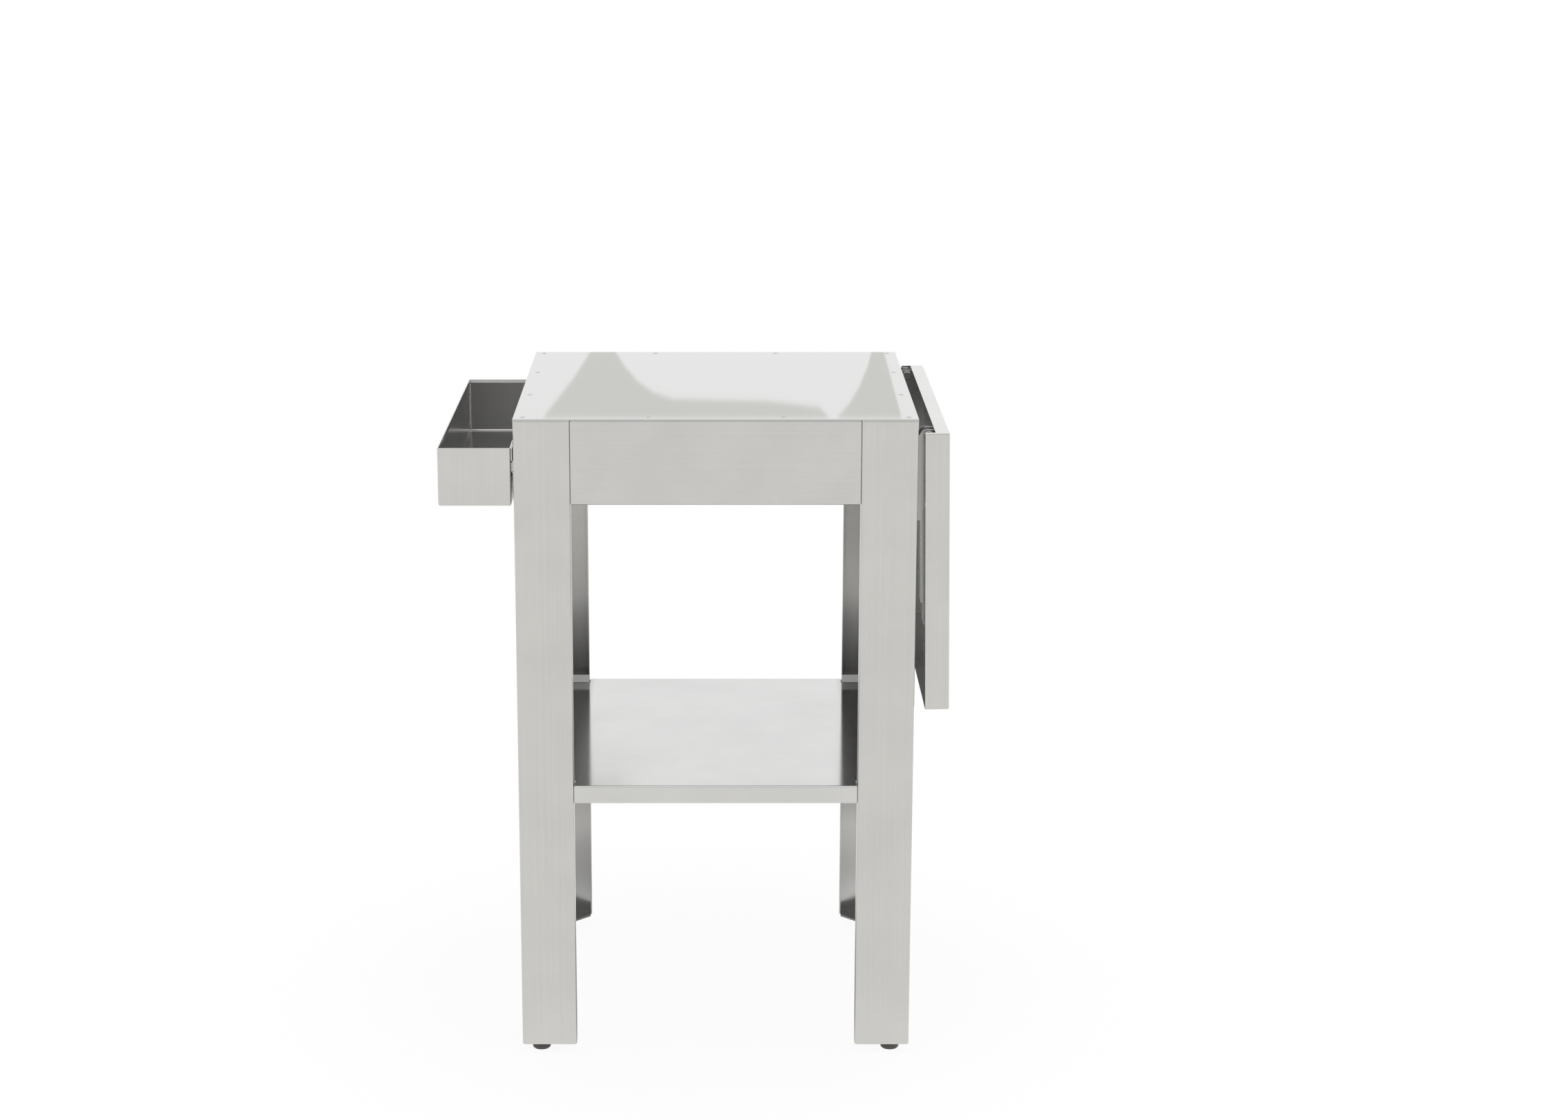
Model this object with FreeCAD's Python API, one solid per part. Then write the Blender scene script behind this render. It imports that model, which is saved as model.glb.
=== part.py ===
"""A stainless steel grill stand: a square top on four folded legs, with aprons, a low shelf,
a utensil tray that hangs on the left and a drop leaf that folds down on the right.

The stand is drawn with its middle at X = 0, Y = 0 and the floor at Z = 0, with the front at -Y.
The finished pieces are then moved along X, so that the origin is the middle of the whole footprint.
All sizes are in millimetres and all angles in degrees.
"""
import FreeCAD
import Part
import math
import os

from FreeCAD import Vector

# Overall size
stand_width = 546.0
stand_depth = 546.0
stand_height = 914.0

# Sheet metal
top_sheet = 2.0
leg_sheet = 1.5
panel_sheet = 1.2
bracket_sheet = 2.0
bend_radius = 1.0
edge_round = 0.5

# Clearances
running_gap = 0.3
pin_play = 0.06
hole_play = 0.3
flush_drop = 0.1

# Legs and feet
leg_flange = 76.5
leg_lip = 20.0
leg_lift = 14.5
leg_corner_cut = 3.0
cap_sheet = 2.0
cap_round = 1.4
foot_plate_sheet = 3.0
foot_plate_end = 30.0
foot_inset = 25.5
foot_pad_radius = 13.0
foot_pad_base_radius = 9.5
foot_pad_height = 9.0
foot_socket_depth = 4.0
foot_stud_radius = 4.0
foot_stud_tail = 8.0
foot_collar_flats = 13.0
foot_bush_flats = 17.0
foot_bush_height = 9.0
foot_travel = 12.0

# Aprons
apron_height = 118.0
apron_flange = 22.0
apron_bolt_margin = 28.0

# Shelf
shelf_level = 398.0
shelf_lip = 25.0
shelf_upstand = 12.0
shelf_upstand_lean = 8.0
shelf_leg_gap = 0.8

# Top fixings
top_screw_inset = 13.0
top_screw_radius = 2.5
top_screw_head_radius = 4.6
top_screw_head_depth = 1.6
top_screw_length = 11.0
top_nut_flats = 8.0
top_nut_height = 4.0

# Frame bolts
bolt_radius = 3.0
bolt_head_flats = 10.0
bolt_head_height = 4.0
bolt_tail = 2.0
low_head_height = 3.0

# Tray on the left side
tray_width = 99.5
tray_setback = 5.5
tray_height = 80.0
tray_drop = 41.0
tray_gap = 3.3
tray_bend = 2.2
tray_hem = 5.0
tray_hem_lean = 8.0
tray_hem_round = 0.7
tray_clip_width = 52.0
tray_clip_sheet = 1.2
tray_clip_drop = 36.0
clip_tab = 12.0
clip_jog = 3.0
clip_base = 16.0
clip_rivet_radius = 2.4
clip_rivet_head_radius = 4.2
clip_rivet_head = 1.3
clip_rivet_spacing = 30.0

# Drop leaf on the right side
leaf_reach = 388.0
leaf_setback = 5.5
leaf_lip = 33.0
leaf_hinge_lip = 19.3
leaf_edge_drop = 20.0
leaf_rest_tilt = 0.9

# Folding brackets of the leaf
hinge_offset = 15.0
hinge_drop = 27.5
hinge_pin_radius = 4.0
pivot_ear_radius = 8.0
pin_head_radius = 6.5
pin_head_height = 2.0
leaf_arm_half_width = 10.0
leaf_arm_reach = 300.0
leaf_arm_tip_depth = 11.0
wall_arm_foot = 22.0
wall_arm_foot_depth = 8.0
wall_arm_screw_drops = (22.0, 62.0)
strut_pivot_drop = 95.0
strut_length = 151.0
strut_half_width = 7.0
strut_web_cutback = 13.0
strut_hole_radius = 2.6
strut_rivet_radius = 3.0
strut_rivet_head_radius = 5.0
strut_rivet_head = 1.8
slider_radius = 3.0
slider_roller_radius = 5.4
slot_play = 0.25
slot_pocket = 2.6
leaf_stud_radius = 2.5
leaf_stud_length = 9.0
leaf_nut_flats = 8.0
leaf_nut_height = 4.0
leaf_stud_drops = (40.0, 160.0, 280.0)

# Places worked out from the sizes above
half_width = stand_width / 2
half_depth = stand_depth / 2
panel_top = stand_height - top_sheet
leg_top = panel_top - cap_sheet
apron_bottom = stand_height - apron_height
opening_half_width = half_width - leg_flange
opening_half_depth = half_depth - leg_flange
shelf_notch = leg_lip + shelf_leg_gap
shelf_set_in = (shelf_upstand + panel_sheet) * math.tan(math.radians(shelf_upstand_lean))
side_bracket_y = half_depth - leg_flange / 2
hinge_x = half_width + hinge_offset
hinge_z = stand_height - hinge_drop
strut_pivot_z = hinge_z - strut_pivot_drop
leaf_face_x = hinge_x + hinge_drop
leaf_edge_z = stand_height - leaf_edge_drop
leaf_length = stand_depth - 2 * leaf_setback
strut_inner = leaf_arm_half_width + running_gap
strut_outer = strut_inner + bracket_sheet
wall_arm_inner = strut_outer + running_gap
wall_arm_outer = wall_arm_inner + bracket_sheet
tray_wall_x = -half_width - tray_gap
tray_length = stand_depth - 2 * tray_setback
tray_top_z = stand_height - tray_drop
corners = ((-1, -1), (1, -1), (-1, 1), (1, 1))
corner_names = ("front_left", "front_right", "back_left", "back_right")

X = Vector(1, 0, 0)
Y = Vector(0, 1, 0)
Z = Vector(0, 0, 1)


# Shapes that several pieces share
def box(x0, x1, y0, y1, z0, z1):
    """A block between two corners, given in any order."""
    low = Vector(min(x0, x1), min(y0, y1), min(z0, z1))
    return Part.makeBox(abs(x1 - x0), abs(y1 - y0), abs(z1 - z0), low)


def cylinder(radius, start, end):
    """A round bar from one point to another."""
    axis = end - start
    return Part.makeCylinder(radius, axis.Length, start, axis)


def hexagon(flats, start, end):
    """A six-sided bar from one point to another, measured across its flats."""
    axis = end - start
    side = axis.cross(Z if abs(axis.z) < axis.Length / 2 else X).normalize()
    across = axis.cross(side).normalize()
    reach = flats / math.sqrt(3)
    ring = []
    for k in range(7):
        turn = math.radians(60 * k)
        ring.append(start + side * (reach * math.cos(turn)) + across * (reach * math.sin(turn)))
    return Part.Face(Part.makePolygon(ring)).extrude(axis)


def union(shapes):
    """One solid made of shapes that touch or overlap."""
    whole = shapes[0]
    for shape in shapes[1:]:
        whole = whole.fuse(shape)
    return whole.removeSplitter()


def rounded_outline(points, radii):
    """A closed flat wire through the points, with each corner rounded by its own radius."""
    edges = []
    ends = []
    count = len(points)
    for k in range(count):
        here = points[k]
        back = (points[k - 1] - here).normalize()
        ahead = (points[(k + 1) % count] - here).normalize()
        if radii[k] <= 0:
            ends.append((here, here))
            continue
        half_turn = back.getAngle(ahead) / 2
        reach = radii[k] / math.tan(half_turn)
        middle = here + (back + ahead).normalize() * (radii[k] / math.sin(half_turn) - radii[k])
        start, end = here + back * reach, here + ahead * reach
        edges.append(Part.Arc(start, middle, end).toShape())
        ends.append((start, end))
    for k in range(count):
        leave, arrive = ends[k][1], ends[(k + 1) % count][0]
        if (arrive - leave).Length > 1e-6:
            edges.append(Part.LineSegment(leave, arrive).toShape())
    return Part.Wire(Part.__sortEdges__(edges))


def folded_sheet(path, sheet, inside):
    """The flat section of a folded sheet. The path is its outer face, and the sheet lies to its right."""
    count = len(path)
    offset = []
    for k in range(count):
        before = path[k] - path[k - 1] if k > 0 else path[1] - path[0]
        after = path[k + 1] - path[k] if k < count - 1 else path[-1] - path[-2]
        n0 = Vector(before.y, -before.x, 0).normalize()
        n1 = Vector(after.y, -after.x, 0).normalize()
        share = sheet / (1 + n0.dot(n1))
        offset.append(path[k] + (n0 + n1) * share)
    bends = [0.0] + [inside] * (count - 2) + [0.0]
    outer = [r + sheet if r else 0.0 for r in bends]
    return Part.Face(rounded_outline(path + offset[::-1], outer + bends[::-1]))


def rounded_block(x0, x1, y0, y1, z0, z1, open_side, radius):
    """A block with every edge rounded except those of its open side."""
    block = box(x0, x1, y0, y1, z0, z1)
    face = max(block.Faces, key=lambda f: f.CenterOfMass.dot(open_side))
    level = face.CenterOfMass.dot(open_side)
    edges = [e for e in block.Edges if any(abs(v.Point.dot(open_side) - level) > 1e-6 for v in e.Vertexes)]
    return block.makeFillet(radius, edges)


def flared_block(x0, x1, y0, y1, z0, z1, lean, radius):
    """A block that widens upwards from the given foot, with every edge rounded except at the top."""
    flare = (z1 - z0) * math.tan(math.radians(lean))
    rings = []
    for z, wider in ((z0, 0.0), (z1, flare)):
        ring = [
            Vector(x0 - wider, y0 - wider, z), Vector(x1 + wider, y0 - wider, z),
            Vector(x1 + wider, y1 + wider, z), Vector(x0 - wider, y1 + wider, z),
        ]
        rings.append(Part.makePolygon(ring + ring[:1]))
    block = Part.makeLoft(rings, True, True)
    edges = [e for e in block.Edges if any(v.Point.z < z1 - 1e-6 for v in e.Vertexes)]
    return block.makeFillet(radius, edges)


def pan(x0, x1, y0, y1, z0, z1, sheet, open_side, inside=bend_radius):
    """A folded pan with welded corners: five sheet walls, one open side and a radius inside its bends."""
    outer = rounded_block(x0, x1, y0, y1, z0, z1, open_side, inside + sheet)
    low = Vector(x0 + sheet, y0 + sheet, z0 + sheet)
    high = Vector(x1 - sheet, y1 - sheet, z1 - sheet)
    for side, past in ((low, -1), (high, 1)):
        for name, axis in (("x", X), ("y", Y), ("z", Z)):
            if open_side.dot(axis) * past > 0.5:
                setattr(side, name, getattr(side, name) + past * 2 * sheet)
    inner = rounded_block(low.x, high.x, low.y, high.y, low.z, high.z, open_side, inside)
    return outer.cut(inner)


# Top
def top_screw_places():
    """Four screws along each side of the top, sharing the corners."""
    xs = [-half_width + top_screw_inset, -stand_width / 6, stand_width / 6, half_width - top_screw_inset]
    ys = [-half_depth + top_screw_inset, -stand_depth / 6, stand_depth / 6, half_depth - top_screw_inset]
    inner = (1, 2)
    return [(x, y) for i, x in enumerate(xs) for j, y in enumerate(ys) if not (i in inner and j in inner)]


def top_screw(x, y, play=0.0):
    """A countersunk screw just under the top's face, or with play the space that it needs."""
    head_top = Vector(x, y, stand_height - flush_drop)
    cone_foot = head_top - Z * top_screw_head_depth
    bar, rim = top_screw_radius + play, top_screw_head_radius + play
    shank = cylinder(bar, head_top - Z * top_screw_length, head_top)
    cone = Part.makeCone(bar, rim, top_screw_head_depth, cone_foot, Z)
    return union([shank, cone])


def top_screw_sink(x, y):
    """The countersunk hole for a top screw."""
    face = Vector(x, y, stand_height)
    mouth = cylinder(top_screw_head_radius + pin_play, face - Z * flush_drop, face)
    return union([top_screw(x, y, pin_play), mouth])


def top_plate():
    """The flat top sheet, with eased edges and countersunk holes."""
    plate = box(-half_width, half_width, -half_depth, half_depth, panel_top, stand_height)
    rim = [e for e in plate.Edges if abs(e.CenterOfMass.z - panel_top) > 1e-6]
    plate = plate.makeFillet(edge_round, rim)
    for x, y in top_screw_places():
        plate = plate.cut(top_screw_sink(x, y))
    return plate


def top_screws():
    return [top_screw(x, y) for x, y in top_screw_places()]


def top_screw_hole(x, y):
    """The clear hole for a top screw in whatever lies under the top."""
    low = Vector(x, y, leg_top)
    return cylinder(top_screw_radius + hole_play, low, Vector(x, y, stand_height))


def top_screw_nuts():
    """A nut under each top screw, against the cap plate or the apron flange that it clamps."""
    nuts = []
    for x, y in top_screw_places():
        at_corner = abs(x) > opening_half_width and abs(y) > opening_half_depth
        seat = leg_top if at_corner else panel_top - panel_sheet
        nut = hexagon(top_nut_flats, Vector(x, y, seat - top_nut_height), Vector(x, y, seat))
        bore = cylinder(top_screw_radius + pin_play, Vector(x, y, seat - top_nut_height), Vector(x, y, seat))
        nuts.append(nut.cut(bore))
    return nuts


# Bolts that hold the aprons and the shelf to the lips of the legs
def apron_bolt_levels():
    return (apron_bottom + apron_bolt_margin, panel_top - apron_bolt_margin)


def shelf_bolt_level():
    return shelf_level - panel_sheet - (shelf_lip - panel_sheet) / 2


def lip_places(levels):
    """Where a bolt crosses a leg's lip: its place on the lip's outer face and its way into the leg."""
    places = []
    for sx, sy in corners:
        for level in levels:
            along = leg_lip / 2 + leg_sheet / 2
            places.append((Vector(sx * opening_half_width, sy * (half_depth - along), level), X * sx))
            places.append((Vector(sx * (half_width - along), sy * opening_half_depth, level), Y * sy))
    return places


def lip_bolt(place, way):
    """A hexagon-head bolt from inside the panel into the leg."""
    head_seat = place - way * panel_sheet
    tail = place + way * (leg_sheet + bolt_head_height + bolt_tail)
    head = hexagon(bolt_head_flats, head_seat - way * bolt_head_height, head_seat)
    return union([head, cylinder(bolt_radius, head_seat, tail)])


def lip_nut(place, way):
    seat = place + way * leg_sheet
    end = seat + way * bolt_head_height
    return hexagon(bolt_head_flats, seat, end).cut(cylinder(bolt_radius + pin_play, seat, end))


def lip_hole(place, way):
    reach = way * (leg_sheet + panel_sheet)
    return cylinder(bolt_radius + hole_play, place - reach, place + reach)


# Legs
def corner_cut(x, y, dx, dy):
    """The small corner that is ground off where a bend meets the foot of a leg."""
    tip = Vector(x, y, 0)
    a, b, c = tip + X * (dx * leg_corner_cut), tip + Y * (dy * leg_corner_cut), tip + Z * leg_corner_cut
    faces = [Part.Face(Part.makePolygon(list(ring) + [ring[0]])) for ring in (
        (tip, a, b), (tip, b, c), (tip, c, a), (a, c, b))]
    return Part.Solid(Part.Shell(faces))


def leg_blank():
    """The front left leg before its holes: an angle with a lip along each free edge."""
    path = [
        Vector(leg_flange, leg_lip, 0),
        Vector(leg_flange, 0, 0),
        Vector(0, 0, 0),
        Vector(0, leg_flange, 0),
        Vector(leg_lip, leg_flange, 0),
    ]
    shape = folded_sheet(path, leg_sheet, bend_radius).extrude(Z * (leg_top - leg_lift))
    for x, y, dx, dy in ((0, 0, 1, 1), (leg_flange, 0, -1, 1), (0, leg_flange, 1, -1)):
        shape = shape.cut(corner_cut(x, y, dx, dy))
    shape.translate(Vector(-half_width, -half_depth, leg_lift))
    return shape


def leg(sx, sy):
    """One leg with the holes that its corner needs."""
    shape = leg_blank()
    if sx > 0:
        shape = shape.mirror(Vector(0, 0, 0), X)
    if sy > 0:
        shape = shape.mirror(Vector(0, 0, 0), Y)
    for place, way in lip_places(apron_bolt_levels() + (shelf_bolt_level(),)):
        if place.x * sx > 0 and place.y * sy > 0:
            shape = shape.cut(lip_hole(place, way))
    y = sy * side_bracket_y
    if sx > 0:
        for drop in wall_arm_screw_drops:
            shape = shape.cut(side_hole(half_width, y, hinge_z - drop, bolt_radius))
    else:
        for offset in (-clip_rivet_spacing / 2, clip_rivet_spacing / 2):
            shape = shape.cut(side_hole(-half_width, y + offset, clip_rivet_level(), clip_rivet_radius))
    return shape


def side_hole(x, y, z, radius):
    """A hole through the side flange of a leg at the given height."""
    reach = X * (2 * leg_sheet)
    return cylinder(radius + hole_play, Vector(x, y, z) - reach, Vector(x, y, z) + reach)


def leg_cap_plates():
    """A plate closes the top of each leg, rounded over its outer edges, and takes the top's corner screw."""
    far, end = leg_flange, foot_plate_end
    outline = [(0, 0), (far, 0), (far, end), (end, far), (0, far)]
    plates = []
    for sx, sy in corners:
        ring = [Vector(sx * (half_width - a), sy * (half_depth - b), leg_top) for a, b in outline]
        radii = [bend_radius + leg_sheet] + [0] * (len(ring) - 1)
        plate = Part.Face(rounded_outline(ring, radii)).extrude(Z * cap_sheet)
        for level, radius in ((panel_top, cap_round), (leg_top, edge_round)):
            plate = plate.makeFillet(radius, outside_edges(plate, level))
        hole = top_screw_hole(sx * (half_width - top_screw_inset), sy * (half_depth - top_screw_inset))
        plates.append(plate.cut(hole))
    return plates


def outside_edges(plate, level):
    """The edges of a leg's cap plate that lie at one level along the outside of the stand."""
    edges = []
    for edge in plate.Edges:
        middle = edge.CenterOfMass
        outside = max(abs(middle.x) - half_width, abs(middle.y) - half_depth) > -leg_sheet
        if outside and all(abs(v.Point.z - level) < 1e-6 for v in edge.Vertexes):
            edges.append(edge)
    return edges


def foot_place(sx, sy):
    return sx * (half_width - foot_inset), sy * (half_depth - foot_inset)


def foot_plates():
    """A gusset welded inside the foot of each leg, cut across at 45 degrees."""
    near, far, end = leg_sheet, leg_flange - leg_sheet, foot_plate_end
    outline = [(near, near), (far, near), (far, end), (end, far), (near, far)]
    plates = []
    for sx, sy in corners:
        ring = [Vector(sx * (half_width - a), sy * (half_depth - b), leg_lift) for a, b in outline]
        plate = Part.Face(rounded_outline(ring, [2 * bend_radius] * len(ring))).extrude(Z * foot_plate_sheet)
        x, y = foot_place(sx, sy)
        base = Vector(x, y, leg_lift)
        plates.append(plate.cut(cylinder(foot_stud_radius + hole_play, base, base + Z * foot_plate_sheet)))
    return plates


def foot_bushes():
    """A threaded bush welded on each gusset."""
    bushes = []
    for sx, sy in corners:
        x, y = foot_place(sx, sy)
        base = Vector(x, y, leg_lift + foot_plate_sheet)
        bush = hexagon(foot_bush_flats, base, base + Z * foot_bush_height)
        bushes.append(bush.cut(cylinder(foot_stud_radius + pin_play, base, base + Z * foot_bush_height)))
    return bushes


def foot_pad(sx, sy):
    """A moulded glide with a rounded edge and a socket for its stud."""
    base, rim, height = foot_pad_base_radius, foot_pad_radius, foot_pad_height
    round_edge = rim - base
    eighth = round_edge * math.sqrt(0.5)
    edge = Part.Arc(
        Vector(base, 0, 0), Vector(base + eighth, 0, round_edge - eighth), Vector(rim, 0, round_edge))
    outline = ((rim, round_edge), (rim, height), (0, height), (0, 0), (base, 0))
    ring = [Vector(radius, 0, z) for radius, z in outline]
    lines = [Part.LineSegment(a, b).toShape() for a, b in zip(ring, ring[1:])]
    pad = Part.Face(Part.Wire([edge.toShape()] + lines)).revolve(Vector(0, 0, 0), Z, 360)
    top = Z * height
    pad = pad.cut(cylinder(foot_stud_radius + pin_play, top - Z * foot_socket_depth, top))
    pad.translate(Vector(*foot_place(sx, sy), 0))
    return pad


def foot_stud(sx, sy):
    """The levelling screw, with a collar to turn it by and thread enough for its travel."""
    x, y = foot_place(sx, sy)
    bush_top = leg_lift + foot_plate_sheet + foot_bush_height
    low = Vector(x, y, foot_pad_height - foot_socket_depth + running_gap)
    high = Vector(x, y, bush_top + foot_travel + foot_stud_tail)
    collar_low = Vector(x, y, foot_pad_height + running_gap)
    collar_high = Vector(x, y, leg_lift - running_gap)
    return union([cylinder(foot_stud_radius, low, high), hexagon(foot_collar_flats, collar_low, collar_high)])


# Aprons
def apron(side):
    """A folded panel between two legs, flush with their faces and open at the back."""
    sign = -1 if side in ("front", "left") else 1
    if side in ("front", "back"):
        depth = sorted((sign * half_depth, sign * (half_depth - apron_flange)))
        reach = (-opening_half_width, opening_half_width, *depth)
        back = Y * -sign
    else:
        depth = sorted((sign * half_width, sign * (half_width - apron_flange)))
        reach = (*depth, -opening_half_depth, opening_half_depth)
        back = X * -sign
    shape = pan(*reach, apron_bottom, panel_top, panel_sheet, back)
    for place, way in lip_places(apron_bolt_levels()):
        shape = shape.cut(lip_hole(place, way))
    for x, y in top_screw_places():
        shape = shape.cut(top_screw_hole(x, y))
    return shape


# Shelf
def shelf():
    """A folded deck notched round the legs: lips turned down between them, leaning upstands inside them."""
    inner_x = half_width - shelf_notch - shelf_set_in
    inner_y = half_depth - shelf_notch - shelf_set_in
    low = shelf_level - panel_sheet
    high = shelf_level + shelf_upstand
    bend = bend_radius + panel_sheet
    lean = shelf_upstand_lean
    deck = flared_block(-inner_x, inner_x, -inner_y, inner_y, low, high, lean, bend)
    wall = panel_sheet * (1 - math.tan(math.radians(lean)))
    hollow_x, hollow_y = inner_x - wall, inner_y - wall
    deck = deck.cut(flared_block(
        -hollow_x, hollow_x, -hollow_y, hollow_y, shelf_level, high + panel_sheet, lean, bend_radius))
    for sign in (-1, 1):
        edge_y = (sign * (inner_y - bend), sign * half_depth)
        edge_x = (sign * (inner_x - bend), sign * half_width)
        deck = deck.cut(box(-opening_half_width, opening_half_width, *edge_y, low, high))
        deck = deck.cut(box(*edge_x, -opening_half_depth, opening_half_depth, low, high))
    whole = union([deck] + [shelf_edge(side) for side in ("front", "back", "left", "right")])
    for place, way in lip_places((shelf_bolt_level(),)):
        whole = whole.cut(lip_hole(place, way))
    return whole


def shelf_edge(side):
    """The part of the shelf that reaches out between two legs, with its three lips turned down."""
    along_x = side in ("front", "back")
    sign = -1 if side in ("front", "left") else 1
    half_span = opening_half_width if along_x else opening_half_depth
    outer = half_depth if along_x else half_width
    bend = bend_radius + panel_sheet
    joins = outer - shelf_notch - shelf_set_in - bend
    overrun = joins - 2 * bend
    low, deck_low = shelf_level - shelf_lip, shelf_level - panel_sheet

    def block(maker, near, far, z0, z1, *rest):
        """A block across the span, from one distance to another out from the middle of the stand."""
        reach = sorted((sign * near, sign * far))
        if along_x:
            return maker(-half_span, half_span, *reach, z0, z1, *rest)
        return maker(*reach, -half_span, half_span, z0, z1, *rest)

    edge = block(pan, overrun, outer, low, shelf_level, panel_sheet, Z * -1)
    edge = edge.cut(block(box, overrun, joins, low, shelf_level))
    return edge.cut(block(box, joins, outer - leg_lip, low, deck_low))


# Tray and its hangers
def clip_rivet_level():
    return tray_top_z - tray_clip_drop - clip_base / 2


def clip_section(base_near, tab_near, base_z, tab_z):
    """The section of a jogged clip, as distances from the leg's side and heights."""
    base_far = base_near + tray_clip_sheet
    tab_far = tab_near + tray_clip_sheet
    (base_end, base_bend), (tab_bend, tab_end) = base_z, tab_z
    ring = [
        (base_near, base_end), (base_far, base_end), (base_far, base_bend), (tab_far, tab_bend),
        (tab_far, tab_end), (tab_near, tab_end), (tab_near, tab_bend), (base_near, base_bend),
    ]
    return [Vector(-half_width - away, 0, height) for away, height in ring]


def clip_pair(section):
    """The clip at each left leg, made from one section."""
    clips = []
    for sy in (-1, 1):
        ring = [p + Y * (sy * side_bracket_y - tray_clip_width / 2) for p in section]
        face = Part.Face(Part.makePolygon(ring + [ring[0]]))
        clips.append(face.extrude(Y * tray_clip_width))
    return clips


def hanger_clips():
    """A strip riveted to each left leg, whose upper tab stands clear to form a pocket."""
    bend = tray_top_z - tray_clip_drop
    tab_near = running_gap + tray_clip_sheet + running_gap
    tab_low = bend + clip_jog
    section = clip_section(0, tab_near, (bend - clip_base, bend), (tab_low, tab_low + clip_tab))
    clips = clip_pair(section)
    for k, sy in enumerate((-1, 1)):
        for offset in (-clip_rivet_spacing / 2, clip_rivet_spacing / 2):
            y = sy * side_bracket_y + offset
            clips[k] = clips[k].cut(side_hole(-half_width, y, clip_rivet_level(), clip_rivet_radius))
    return clips


def tray_hook_clips():
    """A strip welded to the tray, whose lower tab drops into the pocket."""
    bend = tray_top_z - tray_clip_drop
    tab_low = bend + clip_jog + running_gap
    tab_high = bend + clip_jog + clip_tab + running_gap
    base_low = tab_high + clip_jog
    base_near = tray_gap - tray_clip_sheet
    section = clip_section(base_near, running_gap, (base_low + clip_base, base_low), (tab_high, tab_low))
    return clip_pair(section)


def hanger_rivets():
    """Flat rivets through the clips and the side flanges of the left legs."""
    rivets = []
    z = clip_rivet_level()
    for sy in (-1, 1):
        for offset in (-clip_rivet_spacing / 2, clip_rivet_spacing / 2):
            y = sy * side_bracket_y + offset
            outside = Vector(-half_width - tray_clip_sheet, y, z)
            inside = Vector(-half_width + leg_sheet, y, z)
            shank = cylinder(clip_rivet_radius, outside, inside)
            head = cylinder(clip_rivet_head_radius, outside - X * clip_rivet_head, outside)
            tail = cylinder(clip_rivet_head_radius, inside, inside + X * clip_rivet_head)
            rivets.append(union([head, shank, tail]))
    return rivets


def tray_pan():
    """The tray, with an open hem round its rim that stands off the wall at its lower edge."""
    x0, x1 = tray_wall_x - tray_width, tray_wall_x
    y0, y1 = -tray_length / 2, tray_length / 2
    z0, z1 = tray_top_z - tray_height, tray_top_z
    body = pan(x0, x1, y0, y1, z0, z1, panel_sheet, Z, tray_bend)
    hem_low = tray_top_z - tray_hem
    hem = rounded_block(x0, x1, y0, y1, hem_low - tray_height / 2, z1, Z, tray_bend + panel_sheet)
    rim = 2 * panel_sheet + tray_hem * math.tan(math.radians(tray_hem_lean))
    hem = hem.cut(flared_block(
        x0 + rim, x1 - rim, y0 + rim, y1 - rim, hem_low - tray_hem, z1 + tray_hem,
        tray_hem_lean, bend_radius))
    hem = hem.common(box(x0, x1, y0, y1, hem_low, z1))
    rounded = [e for e in hem.Edges if all(abs(v.Point.z - z1) < 1e-6 for v in e.Vertexes)]
    hem = hem.makeFillet(tray_hem_round, rounded)
    body = body.cut(box(x0, x1, y0, y1, hem_low, z1))
    return union([body, hem])


# Folding brackets
def slider_reach(fold):
    """How far from the hinge the strut's far end lies when the leaf is folded out by this angle."""
    turn = math.radians(fold)
    rest = math.sqrt(strut_length ** 2 - (strut_pivot_drop * math.sin(turn)) ** 2)
    return strut_pivot_drop * math.cos(turn) + rest


def strut_turn(fold):
    """The strut's angle from hanging straight down, when the leaf is folded out by this angle."""
    turn = math.radians(fold)
    reach = slider_reach(fold)
    return math.degrees(math.atan2(reach * math.sin(turn), reach * math.cos(turn) - strut_pivot_drop))


def bracket_places():
    """The middle of the front and the rear bracket, along the depth of the stand."""
    return (-side_bracket_y, side_bracket_y)


def both_sides(y, inner, outer):
    """The spans of a channel's two cheeks, from its inner to its outer half width."""
    return ((y - outer, y - inner), (y + inner, y + outer))


def upright_plate(points, radii, span):
    """A plate that stands square to Y, from points given as X and Z."""
    start, end = span
    ring = rounded_outline([Vector(x, start, z) for x, z in points], radii)
    return Part.Face(ring).extrude(Y * (end - start))


def cross_bar(radius, x, z, span):
    """A round bar along Y."""
    low, high = min(span), max(span)
    return cylinder(radius, Vector(x, low, z), Vector(x, high, z))


def hung(shape):
    """Turns a piece of the leaf from hanging straight down to the angle at which it rests."""
    turned = shape.copy()
    turned.rotate(Vector(hinge_x, 0, hinge_z), Y * -1, leaf_rest_tilt)
    return turned


def propped(shape):
    """Turns a piece of the strut from hanging straight down to the angle at which it rests."""
    turned = shape.copy()
    turned.rotate(Vector(hinge_x, 0, strut_pivot_z), Y * -1, strut_turn(leaf_rest_tilt))
    return turned


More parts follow.
